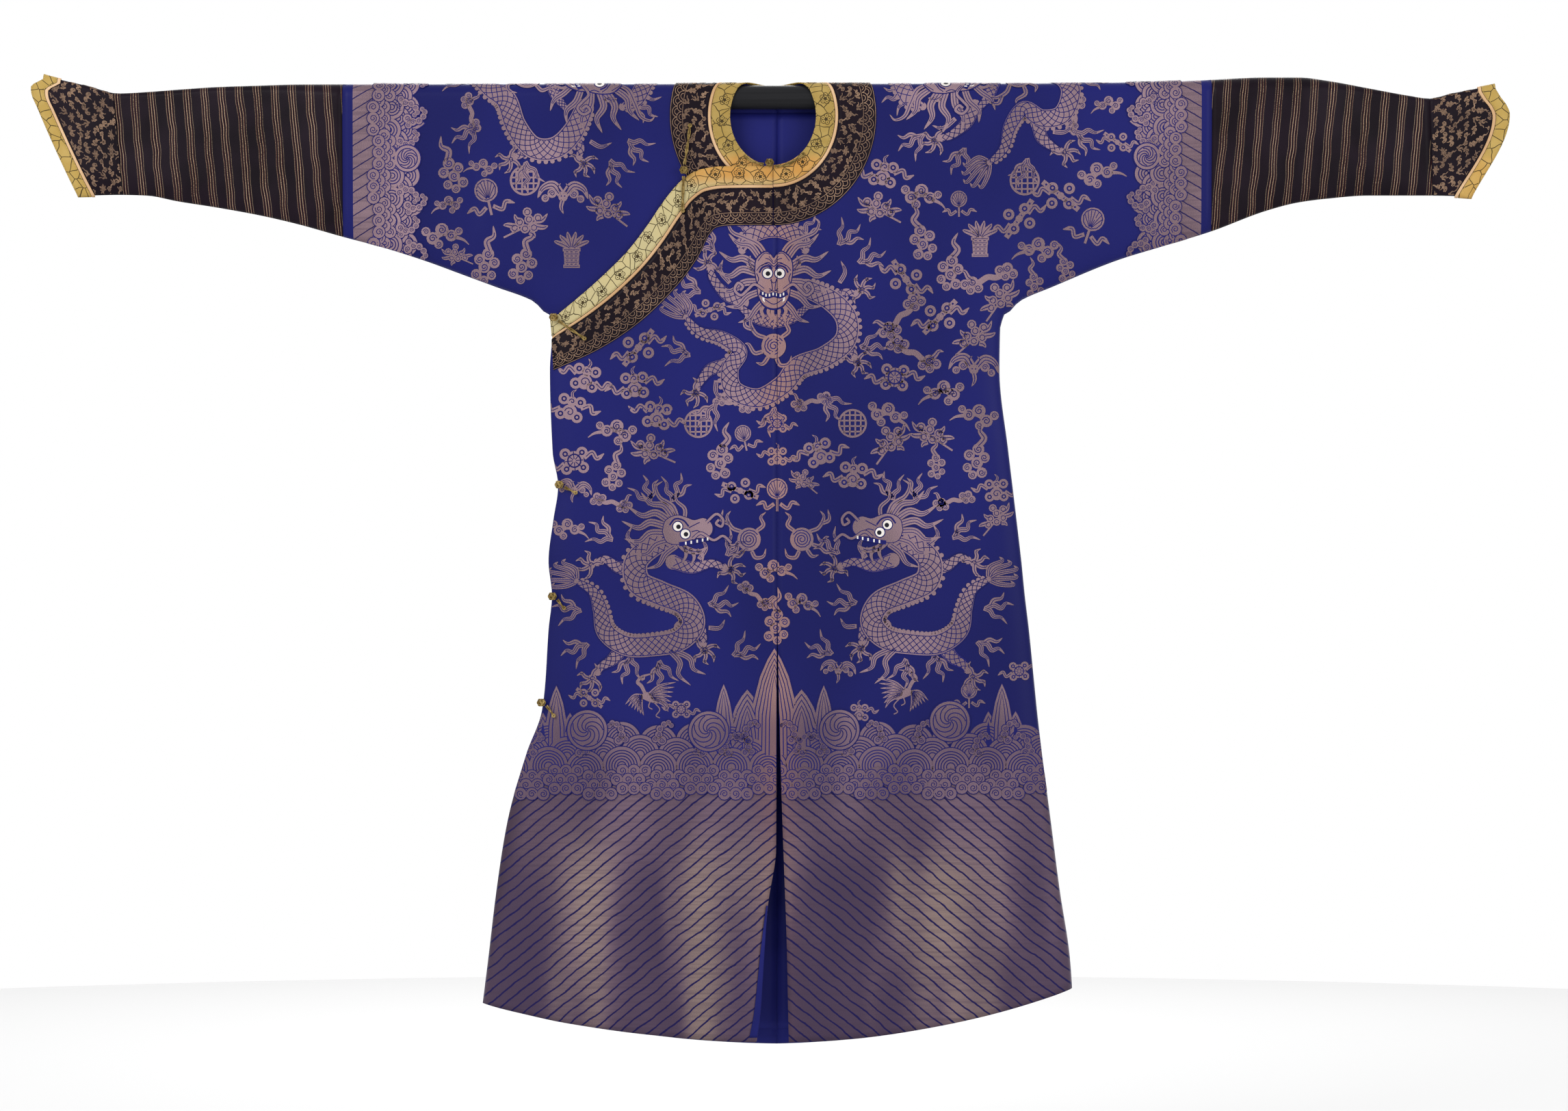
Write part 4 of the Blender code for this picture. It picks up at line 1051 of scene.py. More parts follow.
def new_paths(name, paths):
    """An object of edges alone, from paths of points in millimetres."""
    points = [tuple(np.asarray(p) * 0.001) for path in paths for p in path]
    edges, start = [], 0
    for path in paths:
        edges += [(start + i, start + i + 1) for i in range(len(path) - 1)]
        start += len(path)
    mesh = bpy.data.meshes.new(name)
    mesh.from_pydata(points, edges, [])
    piece = bpy.data.objects.new(name, mesh)
    bpy.context.scene.collection.objects.link(piece)
    return piece


def cord(name, paths, radius, spacing=0.9):
    """Round cords along paths of points in millimetres, as one piece."""
    piece = new_paths(name, paths)
    grow(piece, CORD_TREE, Radius=radius * 0.001, Spacing=spacing * 0.001, Finish=CORD)
    piece.data.polygons.foreach_set("use_smooth", np.ones(len(piece.data.polygons), bool))
    return piece


def lifted(x, z, lift):
    x, z = np.asarray(x, float), np.asarray(z, float)
    points = np.stack((x, -half_depth(x, z, "outer") - lift, z), -1)
    return points


def knot(name, x, z, lift, radius=KNOT_RADIUS):
    """A ball of cord, wound over and under itself."""
    centre = lifted(x, z, lift + KNOT_RADIUS)
    t = np.linspace(0.0, math.tau, 150)
    polar, turn = math.pi / 2 + 1.05 * np.sin(4 * t), 3 * t
    out = radius - 1.5 + 0.55 * np.cos(12 * t)
    ball = np.stack((np.sin(polar) * np.cos(turn), np.sin(polar) * np.sin(turn), np.cos(polar)), -1)
    core = [centre + np.array((dx, 0.0, 0.0)) for dx in np.linspace(-1.6, 1.6, 3)]
    wound = cord(name, [centre + ball * out[:, None]], 1.5, 0.8)
    heart = cord(name + "_core", [core], radius - 2.2, 1.0)
    with bpy.context.temp_override(active_object=wound, selected_editable_objects=[wound, heart]):
        bpy.ops.object.join()
    return wound


def loop(name, route, lift):
    """A loop's two strands, side by side and gently twisted, tied at the far end."""
    x, z = smooth_path(route, 40).T
    run = np.gradient(np.stack((x, z), 1), axis=0)
    run /= np.linalg.norm(run, axis=1, keepdims=True)
    t = np.linspace(0.0, 1.0, 40)
    turn = t * np.hypot(*np.ptp(np.array(route), axis=0)) / 7.0
    strands = []
    for phase in (0.0, math.pi):
        aside, up = 1.25 * np.cos(turn + phase), 0.7 * np.sin(turn + phase)
        path = lifted(x - run[:, 1] * aside, z + run[:, 0] * aside, lift + CORD_RADIUS)
        path[:, 1] -= up
        strands.append(path)
    end = lifted(x[-1], z[-1], lift + CORD_RADIUS)
    a = np.linspace(0.0, math.tau * 2, 40)
    tie = end + np.stack((2.1 * np.cos(a), 1.4 * np.sin(a) * 0.5, 2.1 * np.sin(a)), -1)
    return cord(name, strands + [tie], 1.15, 0.9)


KNOTS = {
    "knot_neck": (-11.0, -97.0, ON_TRIM), "knot_corner": (-136.0, -108.0, ON_TRIM + 1.0),
    "knot_underarm": (-326.0, -322.0, ON_TRIM + 1.0), "knot_side_1": (-318.0, -566.0, ON_SIDE),
    "knot_side_2": (-328.0, -729.0, ON_SIDE), "knot_side_3": (-344.0, -884.0, ON_SIDE)}
LOOPS = {
    "loop_neck_left": ([(-19.5, -99.5), (-28.0, -97.5), (-37.0, -94.0), (-46.0, -88.0)], ON_TRIM),
    "loop_neck_right": ([(-2.5, -102.5), (10.0, -101.0), (24.0, -95.0), (38.0, -85.0)], ON_TRIM),
    "loop_corner_up": ([(-135.0, -99.5), (-132.0, -80.0), (-129.0, -60.0), (-127.0, -43.0)], ON_TRIM),
    "loop_corner_down": ([(-136.5, -116.5), (-137.0, -132.0), (-137.5, -150.0), (-137.5, -167.0)], ON_TRIM),
    "loop_underarm": ([(-319.0, -327.0), (-305.0, -337.0), (-292.0, -345.5), (-281.0, -353.0)], ON_TRIM),
    "loop_side_1": ([(-310.0, -570.0), (-302.0, -574.0), (-294.0, -578.0)], ON_SIDE),
    "loop_side_2": ([(-320.5, -734.0), (-316.0, -740.0), (-311.0, -746.0)], ON_SIDE),
    "loop_side_3": ([(-336.5, -889.0), (-331.0, -896.0), (-326.0, -903.0)], ON_SIDE)}
for name, (x, z, lift) in KNOTS.items():
    stands_for(knot(name + "_ball", x, z, lift), name)
for name, (route, lift) in LOOPS.items():
    stands_for(loop(name + "_cord", route, lift), name)


# ============================================================ the rod
# A black satin-finished bar through both sleeves, which shows only inside the neck.

black, shader, across, down, space, cut = finish("satin_black_rod", 0.32)
scuff = noise(space, (4.0, 260.0, 260.0), 3.0, 0.6)
wear(shader, scuff.colours((0.006, 0.006, 0.007), (0.018, 0.018, 0.020)), scuff, 0.1, 0.0001,
     roughness=0.26 + scuff * 0.16)
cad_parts["rod"].material_slots[0].material = black


# ============================================================ how a woven figure is drawn
# The satin's figures are woven in flat gold thread, with their inner lines left in the blue ground.
# Each is drawn here as flat strips and shapes, in millimetres with y up, and is then laid on the
# hanging cloth, cut off cleanly at the edge of its panel.

GROUND, FIGURE, LINE, OVER, WHITE, BLACK = range(6)      # the inks, from the cloth outwards
RISE = (0.34, 0.43, 0.52, 0.60, 0.68, 0.76)              # how far each ink stands off the cloth


def on_circle(angles):
    return np.stack((np.cos(angles), np.sin(angles)), 1)


def aside_of(path):
    """The unit direction to the left of a path, at each of its points."""
    run = np.gradient(path, axis=0)
    run /= np.maximum(np.linalg.norm(run, axis=1, keepdims=True), 1e-9)
    return np.stack((-run[:, 1], run[:, 0]), 1)


class Drawing:
    """Flat triangles with an ink and a height each."""

    def __init__(self):
        self.points, self.faces, self.inks, self.count, self.base = [], [], [], 0, 0.0

    def add(self, points, faces, ink, rise=0.0):
        points = np.asarray(points, float)
        self.points.append(np.column_stack((points, np.full(len(points), RISE[ink] + rise + self.base))))
        self.faces.append(np.asarray(faces, int) + self.count)
        self.inks.append(np.full(len(faces), ink))
        self.count += len(points)
        return self

    def ribbon(self, path, width, ink=FIGURE, cells=1, rise=0.0):
        """A strip along a path, of a width that may change along it."""
        path = np.asarray(path, float)
        aside = aside_of(path)
        half_width = np.broadcast_to(np.asarray(width, float), len(path)) / 2
        v = np.linspace(-1.0, 1.0, cells + 1)
        points = path[:, None] + aside[:, None] * (half_width[:, None] * v)[..., None]
        quads = grid_faces(len(path), cells + 1)
        return self.add(points.reshape(-1, 2), np.concatenate((quads[:, :3], quads[:, [0, 2, 3]])), ink, rise)

    def line(self, points, count, width=1.3, rise=0.0):
        """A thin inner line along a smooth path."""
        return self.ribbon(smooth_path(points, count), width, LINE, rise=rise)

    def blob(self, outline, ink=FIGURE, rise=0.0):
        """A filled shape that can be seen whole from its middle."""
        outline = np.asarray(outline, float)
        count = len(outline)
        fan = np.stack((np.full(count, count), np.arange(count), np.roll(np.arange(count), -1)), 1)
        return self.add(np.concatenate((outline, outline.mean(0)[None])), fan, ink, rise)

    def disc(self, centre, radius, ink=FIGURE, sides=18, rise=0.0):
        a = np.linspace(0.0, math.tau, sides, endpoint=False)
        return self.blob(np.asarray(centre) + radius * on_circle(a), ink, rise)

    def flame(self, points, width, lines=1, ink=FIGURE):
        """A tongue of flame or hair: a tapered strip with thin lines inside it."""
        path = smooth_path(points, 5 * len(points))
        t = np.linspace(0.0, 1.0, len(path))
        taper = np.sqrt(np.maximum(1.0 - t, 0.0)) * (0.75 + 0.25 * np.sin(t * math.pi))
        self.ribbon(path, width * taper + 0.2, ink)
        keep = slice(1, int(len(path) * 0.82))
        aside = aside_of(path)
        for v in (np.arange(lines) - (lines - 1) / 2) / max(lines, 1) * width * 0.8:
            self.ribbon((path + aside * (v * taper)[:, None])[keep], 1.0, LINE)
        return self

    def curl(self, centre, radius, turns=1.4, start=0.0, hand=1, width=1.1, ink=LINE, inner=0.12):
        """A spiral line, from its outside in."""
        t = np.linspace(0.0, 1.0, max(int(turns * 12), 8))
        a = start + hand * t * turns * math.tau
        out = radius * (1.0 - t * (1.0 - inner))
        return self.ribbon(np.asarray(centre) + out[:, None] * on_circle(a), width, ink)

    def lobe(self, centre, radius, start=0.0, hand=1, rise=0.0, outlined=False):
        """A round curl of cloud: a disc with a spiral line in it."""
        if outlined:
            self.disc(centre, radius + 1.2, GROUND, 12, rise)
        self.disc(centre, radius, FIGURE, 12, rise)
        t = np.linspace(0.0, 1.0, 13)
        a = start + hand * t * 1.45 * math.tau
        out = radius * 0.66 * (1.0 - 0.8 * t)
        return self.ribbon(np.asarray(centre) + out[:, None] * on_circle(a),
                           min(1.2, radius * 0.16), LINE, rise=rise)

    def scaled(self, points, widths, pitch=10.5, crest=0):
        """A scaly body or limb: a broad strip with slanting lines both ways, and a crest on one side."""
        path = smooth_path(points, 9 * len(points))
        t = np.linspace(0.0, 1.0, len(path))
        width = np.interp(t, np.linspace(0.0, 1.0, len(widths)), widths)
        along = np.concatenate(([0.0], np.cumsum(np.linalg.norm(np.diff(path, axis=0), axis=1))))
        aside = aside_of(path)

        def at(u, v):
            x, y = np.interp(u, along, path[:, 0]), np.interp(u, along, path[:, 1])
            ax, ay = np.interp(u, along, aside[:, 0]), np.interp(u, along, aside[:, 1])
            out = np.interp(u, along, width) / 2 * v
            return np.stack((x + ax * out, y + ay * out), -1)
        if crest:
            for u in np.arange(4.0, along[-1] - 3.0, 7.0):
                self.disc(at(u, crest * 1.02), 3.4, FIGURE, 8)
        self.disc(path[0], width[0] / 2, FIGURE, 14)
        self.disc(path[-1], width[-1] / 2, FIGURE, 10)
        self.ribbon(path, width, GROUND, 4, rise=0.05)
        self.ribbon(path, width - 2.4, FIGURE, 4, rise=0.06)
        for v in (-0.80, 0.80):
            self.ribbon(at(along, v), 1.1, LINE, rise=0.07)
        for hand in (-1, 1):
            for u in np.arange(-width[0], along[-1], pitch):
                v = np.linspace(-0.78, 0.78, 7)
                line_u = u + (hand * v + 0.78) * np.interp(u, along, width) / 2
                inside = (line_u > 0.5) & (line_u < along[-1] - 0.5)
                if inside.sum() > 2:
                    self.ribbon(at(line_u[inside], v[inside]), 1.1, LINE, rise=0.07)
        return self

    def claw(self, centre, towards, size=1.0):
        """A five-toed foot, spread round the way it points."""
        centre, base = np.asarray(centre, float), math.radians(towards)
        self.disc(centre, 6.5 * size, FIGURE, 12)
        for spread in (-150, -62, -10, 42, 100):
            a = base + math.radians(spread)
            hook = a + 0.9 * (1 if spread < 0 else -1)
            tip = centre + 17 * size * np.array((math.cos(a), math.sin(a)))
            end = tip + 8 * size * np.array((math.cos(hook), math.sin(hook)))
            middle = centre + 10 * size * np.array((math.cos(a + 0.2), math.sin(a + 0.2)))
            self.flame((centre, middle, tip, end), 7.0 * size, 1)
            self.disc(tip, 2.8 * size, FIGURE, 8)
        return self.curl(centre, 4.2 * size, 1.0)

    def whole(self):
        """All of it as one array of points, one of triangles and one of inks."""
        return np.concatenate(self.points), np.concatenate(self.faces), np.concatenate(self.inks)


def drawn_again(drawing, other, at=(0.0, 0.0), turn=0.0, size=1.0, flip=False, rise=0.0):
    """Adds another drawing, placed, turned in degrees, sized and perhaps mirrored."""
    points, faces, inks = other.whole()
    cos, sin = math.cos(math.radians(turn)), math.sin(math.radians(turn))
    x, y = points[:, 0] * (-size if flip else size), points[:, 1] * size
    placed = np.column_stack((x * cos - y * sin + at[0], x * sin + y * cos + at[1],
                              points[:, 2] + rise + drawing.base))
    drawing.points.append(placed)
    drawing.faces.append(faces + drawing.count)
    drawing.inks.append(inks)
    drawing.count += len(placed)
    return drawing


# ---- the small figures, each about 50 mm across

def ruyi_cloud():
    made = Drawing()
    made.ribbon(smooth_path([(-16, -3), (-4, 2), (8, -2), (20, -6), (27, -12)], 18), np.linspace(9, 1.0, 18))
    for centre, radius, start, hand in (((-16, -4), 7.5, 0, 1), ((-5, 6), 8.0, 2, -1), ((6, -1), 7.0, 1, 1),
                                        ((-24, 4), 5.5, 3, -1), ((-9, -11), 5.5, 4, 1), ((15, 4), 4.8, 0, 1)):
        made.lobe(centre, radius, start, hand)
    return made


def double_cloud():
    made = Drawing()
    made.ribbon(smooth_path([(-18, 12), (-8, 4), (2, 2), (10, -6), (20, -14)], 20), 7.0)
    made.flame([(16, -6), (24, -4), (30, 2), (36, 1)], 7.0)
    for x, y in ((-18, 13), (18, -13)):
        for dx, dy, radius in ((-8, 0, 6.2), (0, 5, 6.8), (8, 0, 6.2), (0, -5, 5.4)):
            made.lobe((x + dx, y + dy), radius, dx * 0.4, 1 if dx < 0 else -1)
    return made


def tall_cloud():
    made = Drawing()
    made.flame([(2, 6), (-4, 18), (3, 26), (0, 38)], 9.0)
    for centre, radius in (((0, 4), 7.2), ((-9, -4), 6.6), ((9, -5), 6.6), ((-2, -12), 7.0), ((8, -20), 5.6),
                           ((-10, -22), 6.4), ((0, -27), 5.4)):
        made.lobe(centre, radius, centre[0], 1 if centre[0] < 0 else -1)
    return made


def streamer(made, points):
    """A loose end of ribbon: a wavy strip with a dark line and a forked tip."""
    path = smooth_path(points, 7 * len(points))
    made.ribbon(path, np.concatenate((np.full(len(path) - 6, 5.0), np.linspace(5.0, 1.0, 6))))
    made.ribbon(path[2:-6], 0.9, LINE)


def bow(made):
    for x, y, a in ((-10, 9, 135), (10, 9, 45), (-10, -9, 225), (10, -9, 315)):
        made.disc((x, y), 6.8, FIGURE, 14)
        made.disc((x, y), 3.4, LINE, 10)
        made.disc((x, y), 1.6, OVER, 8)
    streamer(made, [(-12, 2), (-22, 8), (-27, 0), (-36, 5)])
    streamer(made, [(12, -2), (22, -8), (27, 0), (36, -5)])


def wheel_emblem():
    made = Drawing()
    bow(made)
    made.disc((0, 0), 11.5)
    made.disc((0, 0), 8.6, LINE)
    made.disc((0, 0), 6.8, OVER)
    for a in np.arange(8) * 45.0:
        c, s = math.cos(math.radians(a)), math.sin(math.radians(a))
        made.ribbon([(2.0 * c, 2.0 * s), (11.0 * c, 11.0 * s)], 1.0, LINE, rise=0.12)
    return made


def gourd_emblem():
    made = Drawing()
    bow(made)
    made.disc((0, -5), 9.0)
    made.disc((0, 8), 6.0)
    made.curl((0, -5), 6.0, 1.2)
    made.curl((0, 8), 3.6, 1.0)
    made.flame([(0, 12), (2, 18), (-2, 23)], 4.0)
    return made


def flute_emblem():
    made = Drawing()
    bow(made)
    made.ribbon([(-22, 16), (22, -16)], 6.5, cells=1)
    for t in np.linspace(-0.8, 0.8, 6):
        made.disc((22 * -t, 16 * t), 1.3, LINE, 8)
    made.disc((0, 0), 4.5, OVER, 10)
    return made


def fan_emblem():
    made = Drawing()
    streamer(made, [(-4, -12), (-14, -18), (-18, -10), (-28, -14)])
    streamer(made, [(4, -12), (14, -18), (20, -10), (30, -14)])
    made.ribbon([(0, -22), (0, 0)], 3.0)
    made.disc((0, 8), 14.0)
    for a in np.linspace(-60, 60, 7):
        c, s = math.sin(math.radians(a)), math.cos(math.radians(a))
        made.ribbon([(1.5 * c, -3 + 2 * s), (13.0 * c, 4 + 15 * s)], 0.9, LINE)
    made.curl((0, 8), 12.0, 1.0, inner=0.95)
    return made


def bat():
    made = Drawing()
    made.disc((0, 0), 5.5)
    made.flame([(0, -3), (2, -12), (-1, -20)], 6.0)
    for side in (-1, 1):
        made.flame([(side * 2, 3), (side * 12, 14), (side * 24, 10), (side * 30, -2)], 12.0, 2)
        made.lobe((side * 13, 4), 5.6, 0, side)
        made.lobe((side * 21, -2), 4.6, 1, side)
        made.flame([(side * 3, 5), (side * 6, 12), (side * 3, 16)], 3.0)
    made.disc((-2, 1), 0.9, LINE, 6).disc((2, 1), 0.9, LINE, 6)
    return made


def fret_roundel():
    """A round window of plain square lattice."""
    made = Drawing()
    a = np.linspace(0.0, math.tau, 49)
    made.ribbon(on_circle(a) * 19.5, 3.0)
    for place in (-12.0, -4.0, 4.0, 12.0):
        reach = math.sqrt(18.8**2 - place * place)
        made.ribbon([(-reach, place), (reach, place)], 2.4)
        made.ribbon([(place, -reach), (place, reach)], 2.4)
    return made


def flower_basket():
    made = Drawing()
    for y, wide in ((-24, 24), (-18, 20), (-12, 21), (-6, 23), (0, 26)):
        made.ribbon([(-wide / 2, y), (wide / 2, y)], 4.8)
        made.ribbon([(-wide / 2 + 1.5, y), (wide / 2 - 1.5, y)], 0.9, LINE)
    for x in (-9, -3, 3, 9):
        made.ribbon([(x, -22), (x * 1.1, 0)], 3.0)
    for a in (-62, -36, -12, 12, 36, 62):
        c, s = math.sin(math.radians(a)), math.cos(math.radians(a))
        made.flame([(2 * c, 2), (14 * c, 2 + 12 * s), (25 * c, 2 + 20 * s), (29 * c, 27 * s)], 9.0)
    return made


def flower_spray():
    made = Drawing()
    made.ribbon(smooth_path([(-22, -18), (-10, -8), (2, 2), (14, 12)], 16), 2.2)
    for x, y in ((-8, 4), (2, 10), (10, 2), (0, -2), (-2, 18), (12, 14), (-12, -4)):
        made.disc((x, y), 5.6, FIGURE, 10)
        made.curl((x, y), 3.4, 0.95, x, 1, 0.9, LINE, 0.9)
    for tip in ((22, 22), (26, 8), (-26, -4), (-16, 12), (14, -10)):
        made.flame([(tip[0] * 0.45, tip[1] * 0.45), (tip[0] * 0.8, tip[1] * 0.6), tip], 7.5)
    return made


def crane():
    made = Drawing()
    made.blob(smooth_path([(-12, -2), (0, 6), (14, 0), (20, -12), (6, -10), (-12, -2)], 20)[:-1])
    made.flame([(-2, 4), (-8, 16), (-14, 22), (-8, 30), (2, 34), (14, 36)], 7.0, 0)
    made.disc((-6, 29), 4.2, FIGURE, 10).disc((-5, 30), 1.0, LINE, 6)
    for i in range(7):
        made.flame([(4 + i, 2 - i), (22 + i, 16 - 5 * i), (48 - 2 * i, 22 - 8 * i)], 6.5)
        made.flame([(-6 - i * 0.4, 0), (-20 + i * 2, 0 - 3 * i), (-34 + 5 * i, -14 - 3 * i)], 6.5)
    made.ribbon(smooth_path([(12, -10), (22, -22), (16, -32), (22, -36)], 14), 1.8)
    made.ribbon(smooth_path([(6, -10), (4, -18), (10, -22)], 10), 1.8)
    return made


def pearl():
    """A flaming pearl, 36 mm across."""
    made = Drawing()
    for points in ([(-12, 12), (-26, 18), (-34, 34), (-28, 44)], [(-30, 24), (-42, 30), (-40, 46)],
                   [(12, 13), (22, 22), (18, 34), (26, 42)], [(-16, -8), (-28, -10), (-36, 2), (-42, 4)],
                   [(4, -18), (10, -28), (22, -26), (26, -14)], [(-8, -16), (-16, -26), (-26, -24)]):
        made.flame(points, 7.5)
    made.disc((0, 0), 18.0, FIGURE, 26, 0.08)
    return made.curl((0, 0), 15.0, 3.2, 0.5, 1, 1.5, LINE)


def fire():
    """Loose fire: two forked tongues on a stem."""
    made = Drawing()
    made.flame([(0, -16), (-4, -6), (-13, 0), (-15, 12), (-26, 22)], 9.5, 2)
    made.flame([(0, -12), (5, 0), (0, 12), (8, 20), (5, 33)], 10.0, 2)
    made.flame([(2, -6), (13, 0), (16, 12), (26, 17)], 8.5)
    return made


SMALL = {"ruyi_cloud": ruyi_cloud(), "double_cloud": double_cloud(), "tall_cloud": tall_cloud(),
         "wheel": wheel_emblem(), "gourd": gourd_emblem(), "flute": flute_emblem(), "fan": fan_emblem(),
         "bat": bat(), "roundel": fret_roundel(), "basket": flower_basket(), "spray": flower_spray(),
         "crane": crane(), "pearl": pearl(), "fire": fire()}


# ---- the dragons

def mirrored(points, side):
    return [(side * x, y) for x, y in points]


def facing_head():
    """The dragon's head seen from the front, about 60 mm wide without its hair."""
    made = Drawing()
    for side in (-1, 1):
        for points, width in (([(20, 24), (34, 42), (52, 46), (66, 60)], 12),
                              ([(24, 12), (44, 24), (62, 22), (80, 34)], 13),
                              ([(24, 2), (46, 8), (64, -2), (84, 6)], 13),
                              ([(22, -10), (44, -12), (62, -24), (82, -20)], 13),
                              ([(18, -24), (38, -32), (52, -46), (70, -46)], 12),
                              ([(12, -36), (26, -50), (36, -64), (52, -70)], 11)):
            made.flame(mirrored(points, side), width, 2)
        made.flame(mirrored([(10, 26), (22, 44), (42, 54), (60, 62), (66, 76), (58, 84)], side), 8.0, 1)
        made.flame(mirrored([(26, 4), (36, 16), (34, 28)], side), 11.0, 1)
        for points in ([(4, -42), (8, -54), (4, -64), (8, -74)],
                       [(11, -40), (18, -52), (15, -62), (22, -72)]):
            made.flame(mirrored(points, side), 6.0, 0)
    made.flame([(0, -44), (-2, -56), (2, -66), (-1, -80)], 6.0, 0)
    face = [(-27, 4), (-25, 22), (-13, 33), (-5, 30), (0, 24), (5, 30), (13, 33), (25, 22), (27, 4),
            (24, -14), (22, -30), (14, -44), (0, -49), (-14, -44), (-22, -30), (-24, -14)]
    made.blob(smooth_path(face + face[:1], 49)[:-1] * 1.06, LINE, 0.0)
    made.blob(smooth_path(face + face[:1], 49)[:-1], FIGURE, 0.22)
    up = 0.22
    made.line([(-18, 13), (-8, 18), (0, 12), (8, 18), (18, 13)], 18, 1.4, up)
    made.line([(-12, 24), (-6, 22), (0, 16), (6, 22), (12, 24)], 18, 1.2, up)
    made.ribbon([(-7, 27), (-1, 19)], 1.0, LINE, rise=up).ribbon([(7, 27), (1, 19)], 1.0, LINE, rise=up)
    for side in (-1, 1):
        made.disc((side * 9, 2), 8.6, LINE, 16, up).disc((side * 9, 2), 7.0, WHITE, 16, up)
        made.disc((side * 8.4, 1.6), 3.5, BLACK, 12, up)
        made.line(mirrored([(2, 9), (9, 13), (17, 10), (21, 3)], side), 14, 2.6, up)
        made.line(mirrored([(3, 12), (10, 16), (19, 13), (25, 6)], side), 14, 1.2, up)
        made.curl((side * 19, -12), 6.6, 1.3, 0.6, side, 1.3, inner=0.15)
        made.curl((side * 8, -16), 5.4, 1.2, 2.0, -side, 1.3, inner=0.2)
        made.line(mirrored([(4, -6), (3, -12), (2, -22), (7, -24)], side), 12, 1.3, up)
    for y, wide in ((-8, 5.0), (-20, 6.5)):
        made.line([(-wide, y), (0, y - 4), (wide, y)], 10, 1.2, up)
    for side in (-1, 1):
        made.curl((side * 13, 24), 5.0, 1.1, 0.4, side, 1.2, inner=0.2)
        made.line(mirrored([(25, 2), (22, -6), (24, -14), (19, -22), (21, -30)], side), 16, 1.3, up)
        made.line(mirrored([(5, 30), (14, 31), (23, 20)], side), 12, 1.1, up)
    mouth = smooth_path([(-19, -26), (-10, -31), (0, -29), (10, -31), (19, -26)], 24)
    made.ribbon(mouth, 7.5, LINE, rise=up)
    for i in range(2, 22, 3):
        made.ribbon([mouth[i] + (0, 3.0), mouth[i] - (0, 1.2)], 2.2, WHITE, rise=up)
    for side in (-1, 1):
        made.flame(mirrored([(14, -30), (15, -36), (13, -40)], side), 3.6, 0, WHITE)
    made.line([(-13, -36), (0, -43), (13, -36)], 14, 1.3, up)
    for side in (-1, 1):
        path = smooth_path(mirrored([(15, -22), (28, -14), (38, -22), (48, -30), (57, -22), (52, -12),
                                     (45, -17), (49, -23)], side), 44)
        made.ribbon(path, 5.6, LINE, rise=up).ribbon(path, 3.6, FIGURE, rise=up + 0.14)
    return made


def tail_feathers(made, place, towards, size=1.0):
    for i, spread in enumerate((-52, -26, 0, 26, 52)):
        a, b = math.radians(towards + spread), math.radians(towards + spread * 0.3 + 18)
        middle = np.array(place) + 18 * size * np.array((math.cos(a), math.sin(a)))
        far = middle + (20 + 3 * (2 - abs(i - 2))) * size * np.array((math.cos(b), math.sin(b)))
        made.flame([place, middle, far, far + (4 * size, 6 * size)], 9.0 * size, 2)


def dragon_fire(made, places):
    for x, y, turn in places:
        drawn_again(made, SMALL["fire"], (x, y), turn, 0.9)


def facing_dragon():
    """The coiled dragon seen from the front, round its flaming pearl, about 300 mm across."""
    made = Drawing()
    dragon_fire(made, ((-30, 172, 30), (42, 168, -30), (-120, 84, 70), (136, 128, -60), (-136, -10, 80),
                       (140, 0, -80), (-92, -96, 150), (84, -84, -140), (0, -104, 180),
                       (-96, 150, 40), (104, 158, -40)))
    for x, y in ((-58, -84), (56, -82)):
        drawn_again(made, SMALL["double_cloud"], (x, y), 20 if x < 0 else -20, 0.9, x > 0)
    made.base = 0.12
    made.scaled([(-46, 140), (-34, 160), (0, 172), (34, 160), (46, 140)], [12, 26, 30, 26, 12], crest=1)
    made.scaled([(-46, 64), (-70, 76), (-88, 98), (-92, 112)], [20, 20, 15, 12])
    made.scaled([(62, 74), (86, 66), (104, 78), (118, 76)], [20, 20, 15, 12])
    made.scaled([(-70, -28), (-92, -34), (-106, -50), (-112, -60)], [22, 20, 15, 12])
    made.scaled([(84, -4), (104, 2), (116, -10), (118, -16)], [20, 18, 14, 12])
    tail_feathers(made, (-128, 42), 120)
    made.base = 0.26
    made.scaled([(48, 84), (84, 66), (106, 40), (104, 8), (74, -16), (36, -30), (14, -56), (-22, -76),
                 (-58, -64), (-64, -34), (-50, -8), (-74, 12), (-108, 22), (-128, 42)],
                [28, 34, 35, 35, 34, 33, 32, 31, 30, 28, 25, 21, 16, 9], crest=1)
    made.scaled([(-50, 58), (-28, 42), (0, 36), (28, 42), (50, 58)], [10, 19, 22, 19, 10], 7.0)
    made.base = 0.40
    made.claw((-96, 122), 115).claw((128, 82), 20).claw((-114, -68), 235).claw((122, -24), -50)
    for points in ([(-64, 92), (-78, 110), (-74, 126)], [(96, 92), (104, 108), (98, 124)],
                   [(-84, -50), (-84, -68), (-72, -80)]):
        made.flame(points, 8.0, 2)
    made.base = 0.55
    drawn_again(made, SMALL["pearl"])
    drawn_again(made, facing_head(), (0, 104))
    return made


